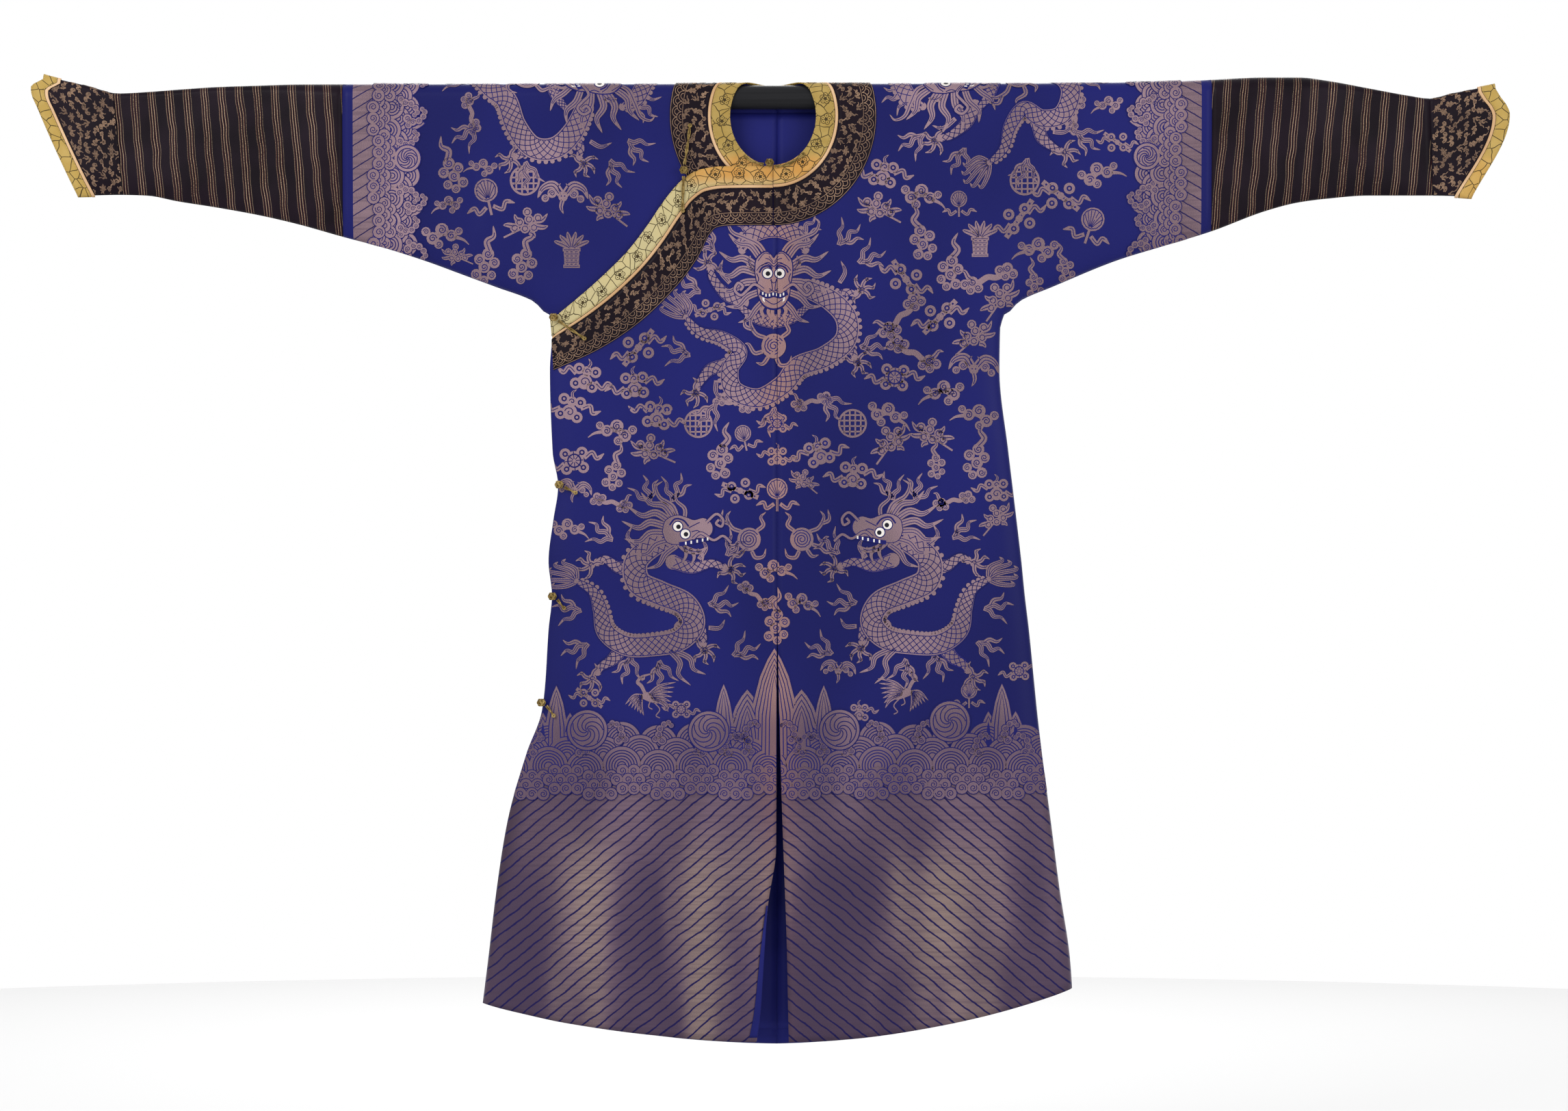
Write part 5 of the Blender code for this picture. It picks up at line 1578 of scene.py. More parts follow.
def side_head():
    """The dragon's head in profile, looking right, with its hair swept back."""
    made = Drawing()
    for points, width in (([(-14, 14), (-34, 26), (-54, 22), (-76, 36)], 13),
                          ([(-18, 6), (-42, 12), (-60, 4), (-84, 14)], 13),
                          ([(-18, -4), (-42, -4), (-58, -16), (-80, -12)], 13),
                          ([(-14, -14), (-34, -20), (-48, -34), (-68, -34)], 12),
                          ([(-4, -22), (-20, -34), (-30, -50), (-48, -56)], 11),
                          ([(-8, 18), (-22, 36), (-42, 40), (-56, 56)], 12)):
        made.flame(points, width, 2)
    made.flame([(-2, 18), (-10, 36), (-28, 48), (-34, 64), (-24, 72)], 8.0, 1)
    made.flame([(8, 16), (8, 32), (-4, 44), (-4, 58)], 7.0, 1)
    for points in ([(8, -22), (10, -36), (4, -48)], [(16, -26), (22, -38), (18, -50)],
                   [(26, -28), (34, -36), (34, -46)]):
        made.flame(points, 6.5, 0)
    made.flame([(-4, -14), (10, -27), (28, -31), (42, -24)], 12.0, 1)
    face = [(-24, -2), (-20, 14), (-4, 22), (10, 19), (22, 15), (36, 18), (47, 10), (48, -2), (40, -10),
            (26, -11), (12, -15), (-4, -20), (-18, -16)]
    made.blob(smooth_path(face + face[:1], 49)[:-1] * 1.05, LINE)
    made.blob(smooth_path(face + face[:1], 49)[:-1], FIGURE, 0.22)
    up = 0.22
    for centre in ((-2, 6), (9, -5)):
        made.disc(centre, 8.2, LINE, 16, up).disc(centre, 6.7, WHITE, 16, up)
        made.disc((centre[0] + 1, centre[1] - 0.5), 3.4, BLACK, 12, up)
    made.line([(-14, 8), (-6, 17), (6, 15), (14, 6)], 16, 2.4, up)
    made.curl((38, 6), 6.5, 1.3, 0.0, 1, 1.3)
    made.curl((-15, -5), 6.0, 1.3, 1.0, -1, 1.3)
    made.line([(14, 4), (22, 8), (30, 12)], 10, 1.3, up)
    made.line([(18, -2), (26, 0), (32, -3)], 10, 1.3, up)
    mouth = smooth_path([(44, -12), (30, -15), (14, -18), (0, -20)], 18)
    made.ribbon(mouth, 6.0, LINE, rise=up)
    for i in range(1, 15, 3):
        made.ribbon([mouth[i] + (0, 2.4), mouth[i] - (0, 2.0)], 2.2, WHITE, rise=up)
    for path in (smooth_path([(40, 12), (54, 24), (64, 16), (62, 6), (54, 10), (58, 16)], 32),
                 smooth_path([(20, -12), (32, -4), (50, -14), (64, -8), (76, -18)], 28)):
        made.ribbon(path, 5.4, LINE, rise=up).ribbon(path, 3.4, FIGURE, rise=up + 0.14)
    return made


def side_dragon():
    """The dragon that strides after its pearl, 280 mm wide and 300 mm tall."""
    made = Drawing()
    dragon_fire(made, ((-30, 128, 20), (10, 132, -10), (-92, 70, 60), (96, 50, -40), (-140, -40, 90),
                       (108, -100, -60), (74, -30, -80), (-56, -120, 170), (-128, -96, 120), (-10, -128, 190)))
    drawn_again(made, SMALL["double_cloud"], (-82, 116), 20, 0.9)
    made.base = 0.12
    made.scaled([(8, 30), (36, 22), (64, 28), (82, 22)], [22, 20, 15, 12])
    made.scaled([(-46, 26), (-70, 22), (-90, 34), (-102, 30)], [22, 20, 15, 12])
    made.scaled([(20, -66), (44, -60), (52, -78), (52, -88)], [22, 20, 14, 12])
    made.scaled([(-66, -94), (-80, -112), (-96, -122), (-102, -130)], [24, 20, 15, 12])
    tail_feathers(made, (-132, 2), 150)
    made.base = 0.26
    made.scaled([(16, 66), (-20, 54), (-46, 30), (-42, 0), (-10, -16), (26, -32), (38, -60), (18, -84),
                 (-20, -92), (-60, -92), (-90, -72), (-98, -40), (-108, -14), (-132, 2)],
                [26, 34, 38, 40, 39, 37, 36, 34, 33, 32, 29, 24, 18, 9], crest=-1)
    made.base = 0.40
    made.claw((92, 18), -15).claw((-112, 26), 160).claw((54, -98), -80).claw((-110, -140), 215)
    for points in ([(-40, 50), (-58, 66), (-52, 82)], [(46, 34), (56, 50), (50, 64)],
                   [(60, -66), (76, -66), (84, -54)]):
        made.flame(points, 8.0, 2)
    for points in ([(0, -96), (18, -116), (16, -134), (34, -150)],
                   [(6, -98), (32, -110), (38, -126), (56, -134)]):
        made.flame(points, 10.0, 2)
    made.base = 0.55
    drawn_again(made, side_head(), (17, 76))
    return made


# ---- the sea and its mountains

def whirl(made, centre, radius, rise=0.0):
    x, y = centre
    made.disc(centre, radius + 1.6, GROUND, 30, rise)
    made.disc(centre, radius, FIGURE, 30, rise)
    a = np.linspace(0.0, math.tau, 41)
    made.ribbon(np.array(centre) + (radius - 4.6) * on_circle(a), 1.5, LINE, rise=rise)
    for start in np.arange(7) * math.tau / 7:
        t = np.linspace(0.0, 1.0, 16)
        out, b = (radius - 6.0) * (1.0 - 0.94 * t), start + 2.6 * t
        made.ribbon(np.array(centre) + out[:, None] * on_circle(b), 1.4, LINE, rise=rise)


def wave(made, centre, radius, rise):
    """One wave: a round-topped fan of arcs under a thick rim."""
    a = np.linspace(-0.35, math.pi + 0.35, 24)
    around = on_circle(a)
    made.ribbon(np.array(centre) + (radius / 2 + 0.7) * around, radius + 1.4, GROUND, rise=rise)
    made.ribbon(np.array(centre) + (radius / 2) * around, radius, FIGURE, rise=rise)
    for out in np.arange(radius - 5.4, 3.0, -4.1):
        made.ribbon(np.array(centre) + out * around, 1.5, LINE, rise=rise)


PEAK = ((0.50, 0.0), (0.47, 0.45), (0.30, 0.74), (0.14, 0.90))      # shares of a peak's width and height


def mountain(made, x, foot, width, height, rise=0.0):
    """A peak of nested outlines, with a shoulder on each side."""
    for dx, share, tall in ((-0.33, 0.50, 0.62), (0.33, 0.50, 0.62), (0.0, 0.60, 1.0)):
        wide, high = width * share, height * tall
        steps = 0
        while wide > 6.0 and high > 14.0:
            shape = ([(-wide * across, high * up) for across, up in PEAK] + [(0, high)]
                     + [(wide * across, high * up) for across, up in PEAK[::-1]])
            outline = np.array(shape) + (x + dx * width, foot)
            if steps % 2 == 0:
                made.blob(outline, LINE, rise + 0.07 * steps - 0.1)
                less = 3.0
            else:
                made.blob(outline, FIGURE, rise + 0.07 * steps)
                less = 8.0
            wide, high, steps = wide - less, high - less * 0.75, steps + 1
        rise = rise + 0.06


def foam_crest(made, x, y, side, size=1.0, rise=0.0):
    """Spray thrown up by the sea: a hooked column of lobes."""
    for dx, dy, radius in ((0, 0, 8.0), (6, 10, 7.0), (4, 21, 6.4), (-4, 29, 5.8), (-12, 32, 5.0),
                           (-17, 27, 4.4), (12, 2, 6.0)):
        made.lobe((x + side * dx * size, y + dy * size), radius * size, dx * 0.3, side, rise, True)


def sea(start, end, whirls, peaks, depth=1.0):
    """A shore of the standing water.  It runs along x, its foot is y = 0 and it rises to y = 110."""
    made = Drawing()
    for x, y, width, height in peaks:
        mountain(made, x, y * depth, width, height * depth)
        for side in (-1, 1):
            foam_crest(made, x + side * width * 0.56, (y + 4) * depth, side, 0.8, 0.75)
    made.ribbon([(x, 46 * depth) for x in np.linspace(start, end, 60)], 50 * depth, FIGURE, 6)
    for row, y in enumerate((78, 60, 42)):
        count = int((end - start) / (52.0 * max(depth, 0.6))) + 1
        for x in start + (np.arange(count) + 0.5 * (row % 2)) * (end - start) / (count - 0.5):
            wave(made, (x, y * depth + 3.0 * math.sin(x * 0.05)), 28.0 * max(depth, 0.55), 0.22 + 0.22 * row)
    for x, y, radius in whirls:
        whirl(made, (x, y * depth), radius, 0.88)
    for i, x in enumerate(np.arange(start + 20, end, 63.0)):
        if min([abs(x - w[0]) for w in whirls] + [99]) > 36:
            foam_crest(made, x, 82 * depth, 1 if i % 2 else -1, 0.8, 0.75)
    for row, y in enumerate((34, 21, 8)):
        for i, x in enumerate(np.arange(start + 8 * (row % 2), end + 8, 16.5)):
            drop = 8.0 * ((int((x - start) / 50.0) + 3) % 2) - 4.0
            made.lobe((x, y * depth + drop), 8.8, i * 1.3, 1 if i % 2 else -1, 0.86 + 0.2 * row, True)
    return made


# ============================================================ the figures laid out and woven in
# A facing dragon on the chest, the back and each shoulder, striding dragons on the skirt, and clouds,
# bats and emblems between them, over mountains that stand in the sea.  x runs across the robe and y
# up from the shoulder fold; the back repeats the front.

FACING, STRIDING = facing_dragon(), side_dragon()
CHEST, SHOULDERS = (-5.0, -395.0), {-1: -365.0, 1: 352.0}
SKIRT_DRAGONS = {-1: (-160.0, -740.0), 1: (176.0, -738.0)}
SEA_FOOT, SLEEVE_FOOT = -1052.0, 590.0
PLACED = (
    ("roundel", -368, -153, 0, 1.05), ("roundel", 361, -154, 0, 1.05), ("roundel", -115, -508, 0, 1.0),
    ("roundel", 110, -508, 0, 1.0), ("basket", -300, -254, 0, 1.0), ("basket", 296, -239, 0, 1.0),
    ("wheel", 0, -508, 0, 0.85), ("gourd", 0, -556, 0, 0.85), ("fan", 0, -612, 0, 1.1),
    ("ruyi_cloud", 0, -722, 0, 1.1), ("tall_cloud", 0, -792, 0, 1.2), ("pearl", -41, -677, 0, 0.95),
    ("pearl", 36, -677, 0, 0.95), ("crane", -191, -905, 0, 0.9), ("crane", 190, -900, 0, 0.9),
    ("flute", -274, -908, 0, 0.85), ("wheel", -140, -925, 0, 0.8), ("gourd", 120, -930, 0, 0.8),
    ("fan", 280, -905, 0, 0.85))
FILLERS = (
    "ruyi_cloud", "bat", "double_cloud", "tall_cloud", "wheel", "ruyi_cloud", "spray", "gourd",
    "double_cloud", "flute", "ruyi_cloud", "fan", "tall_cloud")
SLIT_GAP, PANEL_EDGE, SLIVER = 0.5, 1.2, 1e-4

LAID_FROM, LAID_CELLS, CELL = (-680.0, 20.0), (340, 360), 4.0      # the grid that marks what is drawn on
FILL_REACHES, FILL_PITCH = (32.0, 27.0, 22.5), 11.0
PLAIN_FROM, PLAIN_TO, PLAIN_DEPTH = -345.0, -120.0, 78.0      # the blue stays plain over the slanted edging


def side_room(x, z):
    """How far a place lies inside the outline of the spread robe."""
    side_x = np.where(x < 0.0, -DOWN.read("left", z), DOWN.read("right", z))
    arm = np.where(x < 0.0, -ARMPIT[-1], ARMPIT[1])
    body = np.where(z < UNDERARM, side_x - np.abs(x), 999.0)
    sleeve = np.where(np.abs(x) > arm, z - ACROSS.read("under", x), 999.0)
    hem = z - hem_height(x) + 3.0
    return np.minimum.reduce((body, np.where((z < UNDERARM) & (np.abs(x) > arm), body, sleeve), hem))


def outer_line(x):
    steps = np.linspace(0.0, 10.0, 301)
    return np.interp(-x, -OVERLAP.read("outer_x", steps), OVERLAP.read("outer_z", steps))


def upper_room(x, s, side):
    """Room on a half's own cloth: outside the neck band, and clear of the overlap on the left."""
    z = fall_to(x, s)
    room = np.minimum.reduce((neck_distance(x, s) - BAND_END - 0.8, side_room(x, z) - PANEL_EDGE,
                              SLEEVE_SEAM - 0.8 - np.abs(x)))
    if side > 0:
        middle = np.where(s > 0.0, x - SLIT.read("right", z), x) - SLIT_GAP
        return np.minimum(room, middle)
    over = np.where((s > 0.0) & (x > -345.0), z - overlap_edge(x) - 4.0, 999.0)
    return np.minimum.reduce((room, -x - SLIT_GAP, over))


def overlap_room(x, s):
    z = fall_to(x, s)
    own_side = np.where(z > UNDERARM, x - OVERLAP_SIDE, 999.0)
    return np.minimum.reduce((outer_line(x) - 1.0 - z, SLIT.read("left", z) - SLIT_GAP - x,
                              side_room(x, z) - PANEL_EDGE, own_side - PANEL_EDGE))


def front_room(x, y):
    """Room for a small figure on the front as it is seen."""
    s = -np.asarray(y, float)
    left = np.maximum(overlap_room(x, s), upper_room(x, s, -1))
    return np.where(x < 0.0, left, upper_room(x, s, 1))


def whole_front(seed):
    """The layout of one side of the robe."""
    made = Drawing()
    drawn_again(made, FACING, CHEST)
    for side in (-1, 1):
        drawn_again(made, STRIDING, SKIRT_DRAGONS[side], 0.0, 1.0, side > 0)
        drawn_again(made, FACING, (SHOULDERS[side], 0.0), -90.0 if side < 0 else 90.0)
    for name, x, y, turn, size in PLACED:
        drawn_again(made, SMALL[name], (x, y), turn, size, x > 0)
    peaks = ((-4, 60, 120, 158), (-78, 60, 56, 106), (68, 60, 56, 104), (-322, 60, 60, 104),
             (328, 60, 60, 106))
    whirls = ((-277, 97, 29), (-100, 95, 29), (91, 97, 29), (252, 109, 29))
    drawn_again(made, sea(-440.0, 440.0, whirls, peaks), (0.0, SEA_FOOT))
    for side in (-1, 1):
        shore = sea(-20.0, 262.0, ((121, 82, 19),), ((70, 60, 46, 66), (196, 60, 46, 60)), 0.62)
        if side < 0:
            drawn_again(made, shore, (-SLEEVE_FOOT, 0.0), -90.0)
        else:
            drawn_again(made, shore, (SLEEVE_FOOT, 0.0), 90.0, 1.0, True)
    # small figures fill what is left of the blue
    taken = np.concatenate(made.points)[:, :2]
    chance = np.random.default_rng(seed)
    grid = np.zeros(LAID_CELLS, bool)
    cell_x = ((taken[:, 0] - LAID_FROM[0]) / CELL).astype(int)
    cell_y = ((LAID_FROM[1] - taken[:, 1]) / CELL).astype(int)
    grid[np.clip(cell_x, 0, LAID_CELLS[0] - 1), np.clip(cell_y, 0, LAID_CELLS[1] - 1)] = True
    used_x, used_y = np.nonzero(grid)
    used = np.stack((LAID_FROM[0] + (used_x + 0.5) * CELL, LAID_FROM[1] - (used_y + 0.5) * CELL), 1)
    for reach in FILL_REACHES:
        for row, y in enumerate(np.arange(-12.0, -990.0, -FILL_PITCH)):
            x = np.arange(-560.0, 560.0, FILL_PITCH) + (row % 2) * FILL_PITCH / 2
            z = fall_to(x, np.full(x.shape, -y))
            over = z - overlap_edge(x)
            plain = (x > PLAIN_FROM) & (x < PLAIN_TO) & (over > 0.0) & (over < PLAIN_DEPTH)
            for x_here in x[(front_room(x, np.full(x.shape, y)) > reach * 0.85) & ~plain]:
                if np.hypot(used[:, 0] - x_here, used[:, 1] - y).min() < reach:
                    continue
                figure = SMALL[FILLERS[int(chance.integers(len(FILLERS)))]]
                turn = float(chance.uniform(-20, 20))
                drawn_again(made, figure, (x_here, y), turn, reach / 26.0, bool(chance.integers(2)))
                used = np.concatenate((used, made.points[-1][::6, :2]))
    return made


def refined(flat, faces, inks, limit):
    """Splits long triangles, so that they can follow the cloth."""
    for _ in range(7):
        corners = flat[faces]
        sides = np.linalg.norm(corners[:, (1, 2, 0), :2] - corners[:, :, :2], axis=2)
        longest = sides.argmax(1)
        long = sides.max(1) > limit(corners[:, :, :2].mean(1))
        if not long.any():
            break
        rows = np.nonzero(long)[0]
        a, b, c = (faces[rows, (longest[rows] + k) % 3] for k in range(3))
        middle = len(flat) + np.arange(len(rows))
        flat = np.concatenate((flat, (flat[a] + flat[b]) / 2))
        faces = np.concatenate((faces[~long], np.stack((a, middle, c), 1), np.stack((middle, b, c), 1)))
        inks = np.concatenate((inks[~long], inks[rows], inks[rows]))
    return flat, faces, inks


def clipped(flat, faces, inks, room):
    """Keeps what has room, and cuts the triangles that cross the line."""
    value = room(flat)
    inside = (value > 0.0)[faces]
    count = inside.sum(1)
    kept_faces, kept_inks, extra = [faces[count == 3]], [inks[count == 3]], []
    start = len(flat)
    for one, alone in ((1, True), (2, False)):
        rows = np.nonzero(count == one)[0]
        if not len(rows):
            continue
        odd = (inside[rows] if alone else ~inside[rows]).argmax(1)
        a, b, c = (faces[rows, (odd + k) % 3] for k in range(3))
        share_b = (value[a] / (value[a] - value[b]))[:, None]
        share_c = (value[a] / (value[a] - value[c]))[:, None]
        to_b, to_c = start + np.arange(len(rows)), start + len(rows) + np.arange(len(rows))
        extra += [flat[a] + (flat[b] - flat[a]) * share_b, flat[a] + (flat[c] - flat[a]) * share_c]
        start += 2 * len(rows)
        if alone:
            kept_faces.append(np.stack((a, to_b, to_c), 1))
            kept_inks.append(inks[rows])
        else:
            kept_faces += [np.stack((to_b, b, c), 1), np.stack((to_b, c, to_c), 1)]
            kept_inks += [inks[rows], inks[rows]]
    return np.concatenate([flat] + extra), np.concatenate(kept_faces), np.concatenate(kept_inks)


def face_up(flat, faces, inks):
    """Turns every triangle the same way up and drops the slivers."""
    a, b, c = (flat[faces[:, k], :2] for k in range(3))
    area = (b - a)[:, 0] * (c - a)[:, 1] - (b - a)[:, 1] * (c - a)[:, 0]
    kept = np.abs(area) > SLIVER
    return np.where((area < 0.0)[:, None], faces[:, ::-1], faces)[kept], inks[kept]


def gathered(flat, faces):
    """Drops the points that no triangle uses."""
    used, faces = np.unique(faces, return_inverse=True)
    return flat[used], faces.reshape(-1, 3)


def near_curves(middle):
    """Short triangles where the cloth turns over the rod and at its sides."""
    x, s = middle[:, 0], -middle[:, 1]
    turned_hard = (np.abs(s) < 36.0) | (side_room(x, fall_to(x, s)) < 26.0)
    return np.where(turned_hard, 5.0, 9.5)


def woven_in(name, whole, room, face):
    """Lays a drawing on the cloth of one panel, cut off at its edge."""
    flat, faces, inks = refined(*whole, near_curves)
    flat, faces, inks = clipped(flat, faces, inks, room)
    faces, inks = face_up(flat, faces, inks)
    flat, faces = gathered(flat, faces)
    points = off_cloth(flat[:, 0], -flat[:, 1], flat[:, 2], face)
    piece = new_object(name, points, faces, np.stack((flat[:, 0], -flat[:, 1]), 1), INKS, True, inks)
    print("figure", name, len(faces))
    return piece


WHITE_SILK = plain_woven("white_silk", (0.520, 0.480, 0.450), (0.700, 0.660, 0.620), 0.5)
BLACK_SILK = plain_woven("black_silk", (0.006, 0.006, 0.010), (0.014, 0.014, 0.022), 0.5)
INKS = (BLUE_INK, GOLD, BLUE_INK, GOLD, WHITE_SILK, BLACK_SILK)

FRONT_LAYOUT, BACK_LAYOUT = whole_front(7).whole(), whole_front(19).whole()
BACK_LAYOUT[0][:, 1] *= -1.0


def ahead(rule):
    return lambda flat: np.minimum(rule(flat[:, 0], -flat[:, 1]), 2.0 - flat[:, 1])


def behind(rule):
    return lambda flat: np.minimum(rule(flat[:, 0], -flat[:, 1]), flat[:, 1] - 2.0)


def half_figures(word, side, under):
    """The figures on the front and on the back of one half."""
    def rule(x, s):
        return upper_room(x, s, side)
    return [woven_in(f"figures_on_{word}_front", FRONT_LAYOUT, ahead(rule), under),
            woven_in(f"figures_on_{word}_back", BACK_LAYOUT, behind(rule), under)]


FIGURES = {
    "overlap": [woven_in("figures_on_overlap", FRONT_LAYOUT, ahead(overlap_room), "outer")],
    "right": half_figures("right", 1, "front"), "left": half_figures("left", -1, "inner")}
for pieces in FIGURES.values():
    for piece in pieces:
        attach(piece, "root")


# ============================================================ figures of the plum bands and the edging
# The plum satin is woven with small copper-gold clouds between borders of curling waves, and the
# yellow edging with plum blossoms of five petals.

PLUM_LINE = plain_woven("plum_ground_line", PLUM, PLUM_LIGHT)


def copper_thread(name):
    made, shader, across, down, space, cut = finish(name, 0.45, metallic=0.2)
    grain = thread_grain(cut)
    age = noise(space, (22.0, 22.0, 22.0), 2.0, 0.6).step(0.35, 0.7)
    base = age.colours((0.085, 0.046, 0.032), (0.240, 0.145, 0.092))
    # the thread's grain paints pale glints on the copper
    wear(shader, (grain * 0.55).colours(base, (0.460, 0.320, 0.220)), grain, 0.3, 0.0002)
    return made


COPPER = copper_thread("copper_thread_on_plum")


def small_bands(length, depth, seed, border=0.0):
    """Small clouds, curls and bats over a band, with a border of nested arcs along its outer edge."""
    made, chance = Drawing(), np.random.default_rng(seed)
    top = depth - border
    if border:
        for row, out in enumerate((top + 1.0, top + 7.5)):
            for u in np.arange(0.0, length + 14.0, 14.0) + 7.0 * row:
                a = np.linspace(0.0, math.pi, 12)
                for radius in (6.9, 3.6):
                    arc = np.array((u, out - 5.0)) + radius * on_circle(a)
                    made.ribbon(arc, 0.8, FIGURE)
        for v in (top - 5.5, depth - 0.9):
            made.ribbon([(u, v) for u in np.linspace(0.0, length, int(length / 8) + 2)], 0.7, FIGURE)
    for row, v in enumerate(np.arange(8.0, top - 9.0, 11.5)):
        for u in np.arange(8.0 + 9.0 * (row % 2), length - 4.0, 18.5):
            name = ("ruyi_cloud", "bat", "double_cloud", "tall_cloud", "fire", "spray",
                    "ruyi_cloud")[int(chance.integers(7))]
            drawn_again(made, SMALL[name], (u + chance.uniform(-2, 2), v + chance.uniform(-1.5, 1.5)),
                        float(chance.uniform(-40, 40)), 0.27, bool(chance.integers(2)))
    return made


def along_run(name, made, run, near, far, lift, inks):
    """Lays a drawing of (along, across) on a run of edging."""
    start, parts = 0.0, []
    flat, faces, ink = refined(*made.whole(), lambda middle: np.full(len(middle), 6.0))
    for place, first, last, _, face in RUNS[run]:
        step = np.linspace(first, last, 300)
        x, s = place(step, np.full(step.shape, (near + far) / 2))
        track = on_cloth(x, s, face)
        travelled = start + np.concatenate(([0.0], np.cumsum(np.linalg.norm(np.diff(track, axis=0), axis=1))))
        end = travelled[-1]

        def room(places, start=start, end=end):
            return np.minimum.reduce((places[:, 0] - start - 0.3, end - places[:, 0] - 0.3,
                                      places[:, 1] - near - 0.6, far - places[:, 1] - 0.6))
        some, these, inked = clipped(flat, faces, ink, room)
        some, these = gathered(some, these)
        x, s = place(np.interp(some[:, 0], travelled, step), some[:, 1])
        points = off_cloth(x, s, some[:, 2] - 0.2 + lift, face)
        these, inked = face_up(np.stack((x, -s), 1), these, inked)
        parts.append((points, these, some[:, :2], inked))
        start = end
    count, all_faces = 0, []
    for points, these, _, _ in parts:
        all_faces.append(these + count)
        count += len(points)
    points, _, uv, inked = (np.concatenate(kind) for kind in zip(*parts))
    return new_object(name, points, np.concatenate(all_faces), uv, inks, True, inked)


def blossoms(length, middle, seed):
    made, chance = Drawing(), np.random.default_rng(seed)
    for u in np.arange(16.0, length - 8.0, 34.0):
        centre, start = (u + chance.uniform(-4, 4), middle + chance.uniform(-3, 3)), chance.uniform(0, 6)
        for petal in range(5):
            a = start + petal * math.tau / 5
            place = np.array(centre) + 4.9 * np.array((math.cos(a), math.sin(a)))
            for radius, ink, sides in ((3.6, GROUND, 12), (2.7, FIGURE, 12), (0.9, LINE, 6)):
                made.disc(place, radius, ink, sides, 0.02)
        made.disc(centre, 1.7, GROUND, 8, 0.1)
    return made


PLUM_INKS = (PLUM_LINE, COPPER, PLUM_LINE, COPPER, WHITE_SILK, BLACK_SILK)
ICE_INKS = (ICE_INK, EDGING, ICE_INK, EDGING, EDGING, ICE_INK)
BAND_FIGURES = {}
CUFF_ROUND, CUFF_DEEP, CUFF_START = 420.0, 130.0, 953.0
for run, length in (("neck", 900.0), ("overlap", 520.0)):
    band = small_bands(length, BAND_WIDTH, 3, 13.0)
    for points in band.points:
        points[:, 1] += BAND_START
    BAND_FIGURES[run, "band"] = [along_run(run + "_band_figures", band, run, BAND_START, BAND_END,
                                           LAY_GAP + WALL, PLUM_INKS)]
    BAND_FIGURES[run, "trim"] = [along_run(run + "_blossoms", blossoms(length, TRIM_WIDTH / 2, 5), run, 0.0,
                                           TRIM_WIDTH, LAY_GAP + TRIM_WALL, ICE_INKS)]


def round_cuff(name, side):
    """Clouds all over a cuff, on both faces, from its seam to its piping."""
    word = WORDS[side]
    made = small_bands(CUFF_ROUND, CUFF_DEEP, 11 + side)
    flat, faces, inks = refined(*made.whole(), lambda middle: np.full(len(middle), 5.0))
    flat = flat.copy()
    flat[:, 0] -= CUFF_ROUND / 2
    flat[:, 1] = side * (flat[:, 1] + CUFF_START)

    def room(places):
        x, s = places[:, 1], places[:, 0]
        top, under = ACROSS.read("top", x), ACROSS.read("under", x)
        down = np.clip((top - fall_to(x, s)) / (top - under), 0, 1)
        start = side * (x - line_at(side, SEAM)(down)) - 1.0
        end = side * (HOOF.read(word, down) - x) - CUFF_TRIM_WIDTH - CUFF_PIPING - 2.0
        return np.minimum.reduce((start, end, fall_to(x, s) - under - 1.5))

    flat, faces, inks = clipped(flat, faces, inks, room)
    flat, faces = gathered(flat, faces)
    x, s = flat[:, 1], flat[:, 0]
    faces, inks = face_up(np.stack((x, -s), 1), faces, inks)
    points = off_cloth(x, s, flat[:, 2] - 0.1, "front")
    return new_object(name, points, faces, np.stack((x, s), 1), PLUM_INKS, True, inks)


for side, word in WORDS.items():
    BAND_FIGURES[side, "cuff"] = [round_cuff("cuff_" + word + "_figures", side)]
for pieces in BAND_FIGURES.values():
    for piece in pieces:
        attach(piece, "root")


# ============================================================ stitches
# The edging is sewn down with small stitches of yellow silk, close to both of its edges.  Each is a
# short raised bar, set along the run by one tree.

STITCH_LENGTH, STITCH_PITCH, STITCH_IN, STITCH_THICK = 1.9, 4.2, 1.3, 0.5


def stitch_tree():
    """Sets one short bar at every pitch along a path of edges."""
    tree, nodes = new_tree("running_stitch", "Stitches", ("Pitch", "Length", "Thickness"))
    given, result = nodes.new("NodeGroupInput"), nodes.new("NodeGroupOutput")
    curve, resample = nodes.new("GeometryNodeMeshToCurve"), nodes.new("GeometryNodeResampleCurve")
    resample.mode = "LENGTH"
    bar, set_down = nodes.new("GeometryNodeMeshCube"), nodes.new("GeometryNodeInstanceOnPoints")
    size, tangent = nodes.new("ShaderNodeCombineXYZ"), nodes.new("GeometryNodeInputTangent")
    turn = nodes.new("FunctionNodeAlignRotationToVector")
    turn.axis = "X"
    realize, paint = nodes.new("GeometryNodeRealizeInstances"), nodes.new("GeometryNodeSetMaterial")
    link_all(tree, (
        (given, "Path", curve, 0), (curve, 0, resample, "Curve"), (given, "Pitch", resample, "Length"),
        (given, "Length", size, 0), (given, "Thickness", size, 1), (given, "Thickness", size, 2),
        (size, 0, bar, "Size"), (tangent, 0, turn, "Vector"),
        (resample, 0, set_down, "Points"), (bar, "Mesh", set_down, "Instance"),
        (turn, 0, set_down, "Rotation"), (set_down, 0, realize, 0), (realize, 0, paint, "Geometry"),
        (given, "Finish", paint, "Material"),
        (paint, 0, result, 0)))
    return tree


STITCH_TREE = stitch_tree()
YELLOW_SILK = plain_woven("yellow_silk_thread", (0.380, 0.260, 0.070), (0.560, 0.420, 0.150), 0.5)


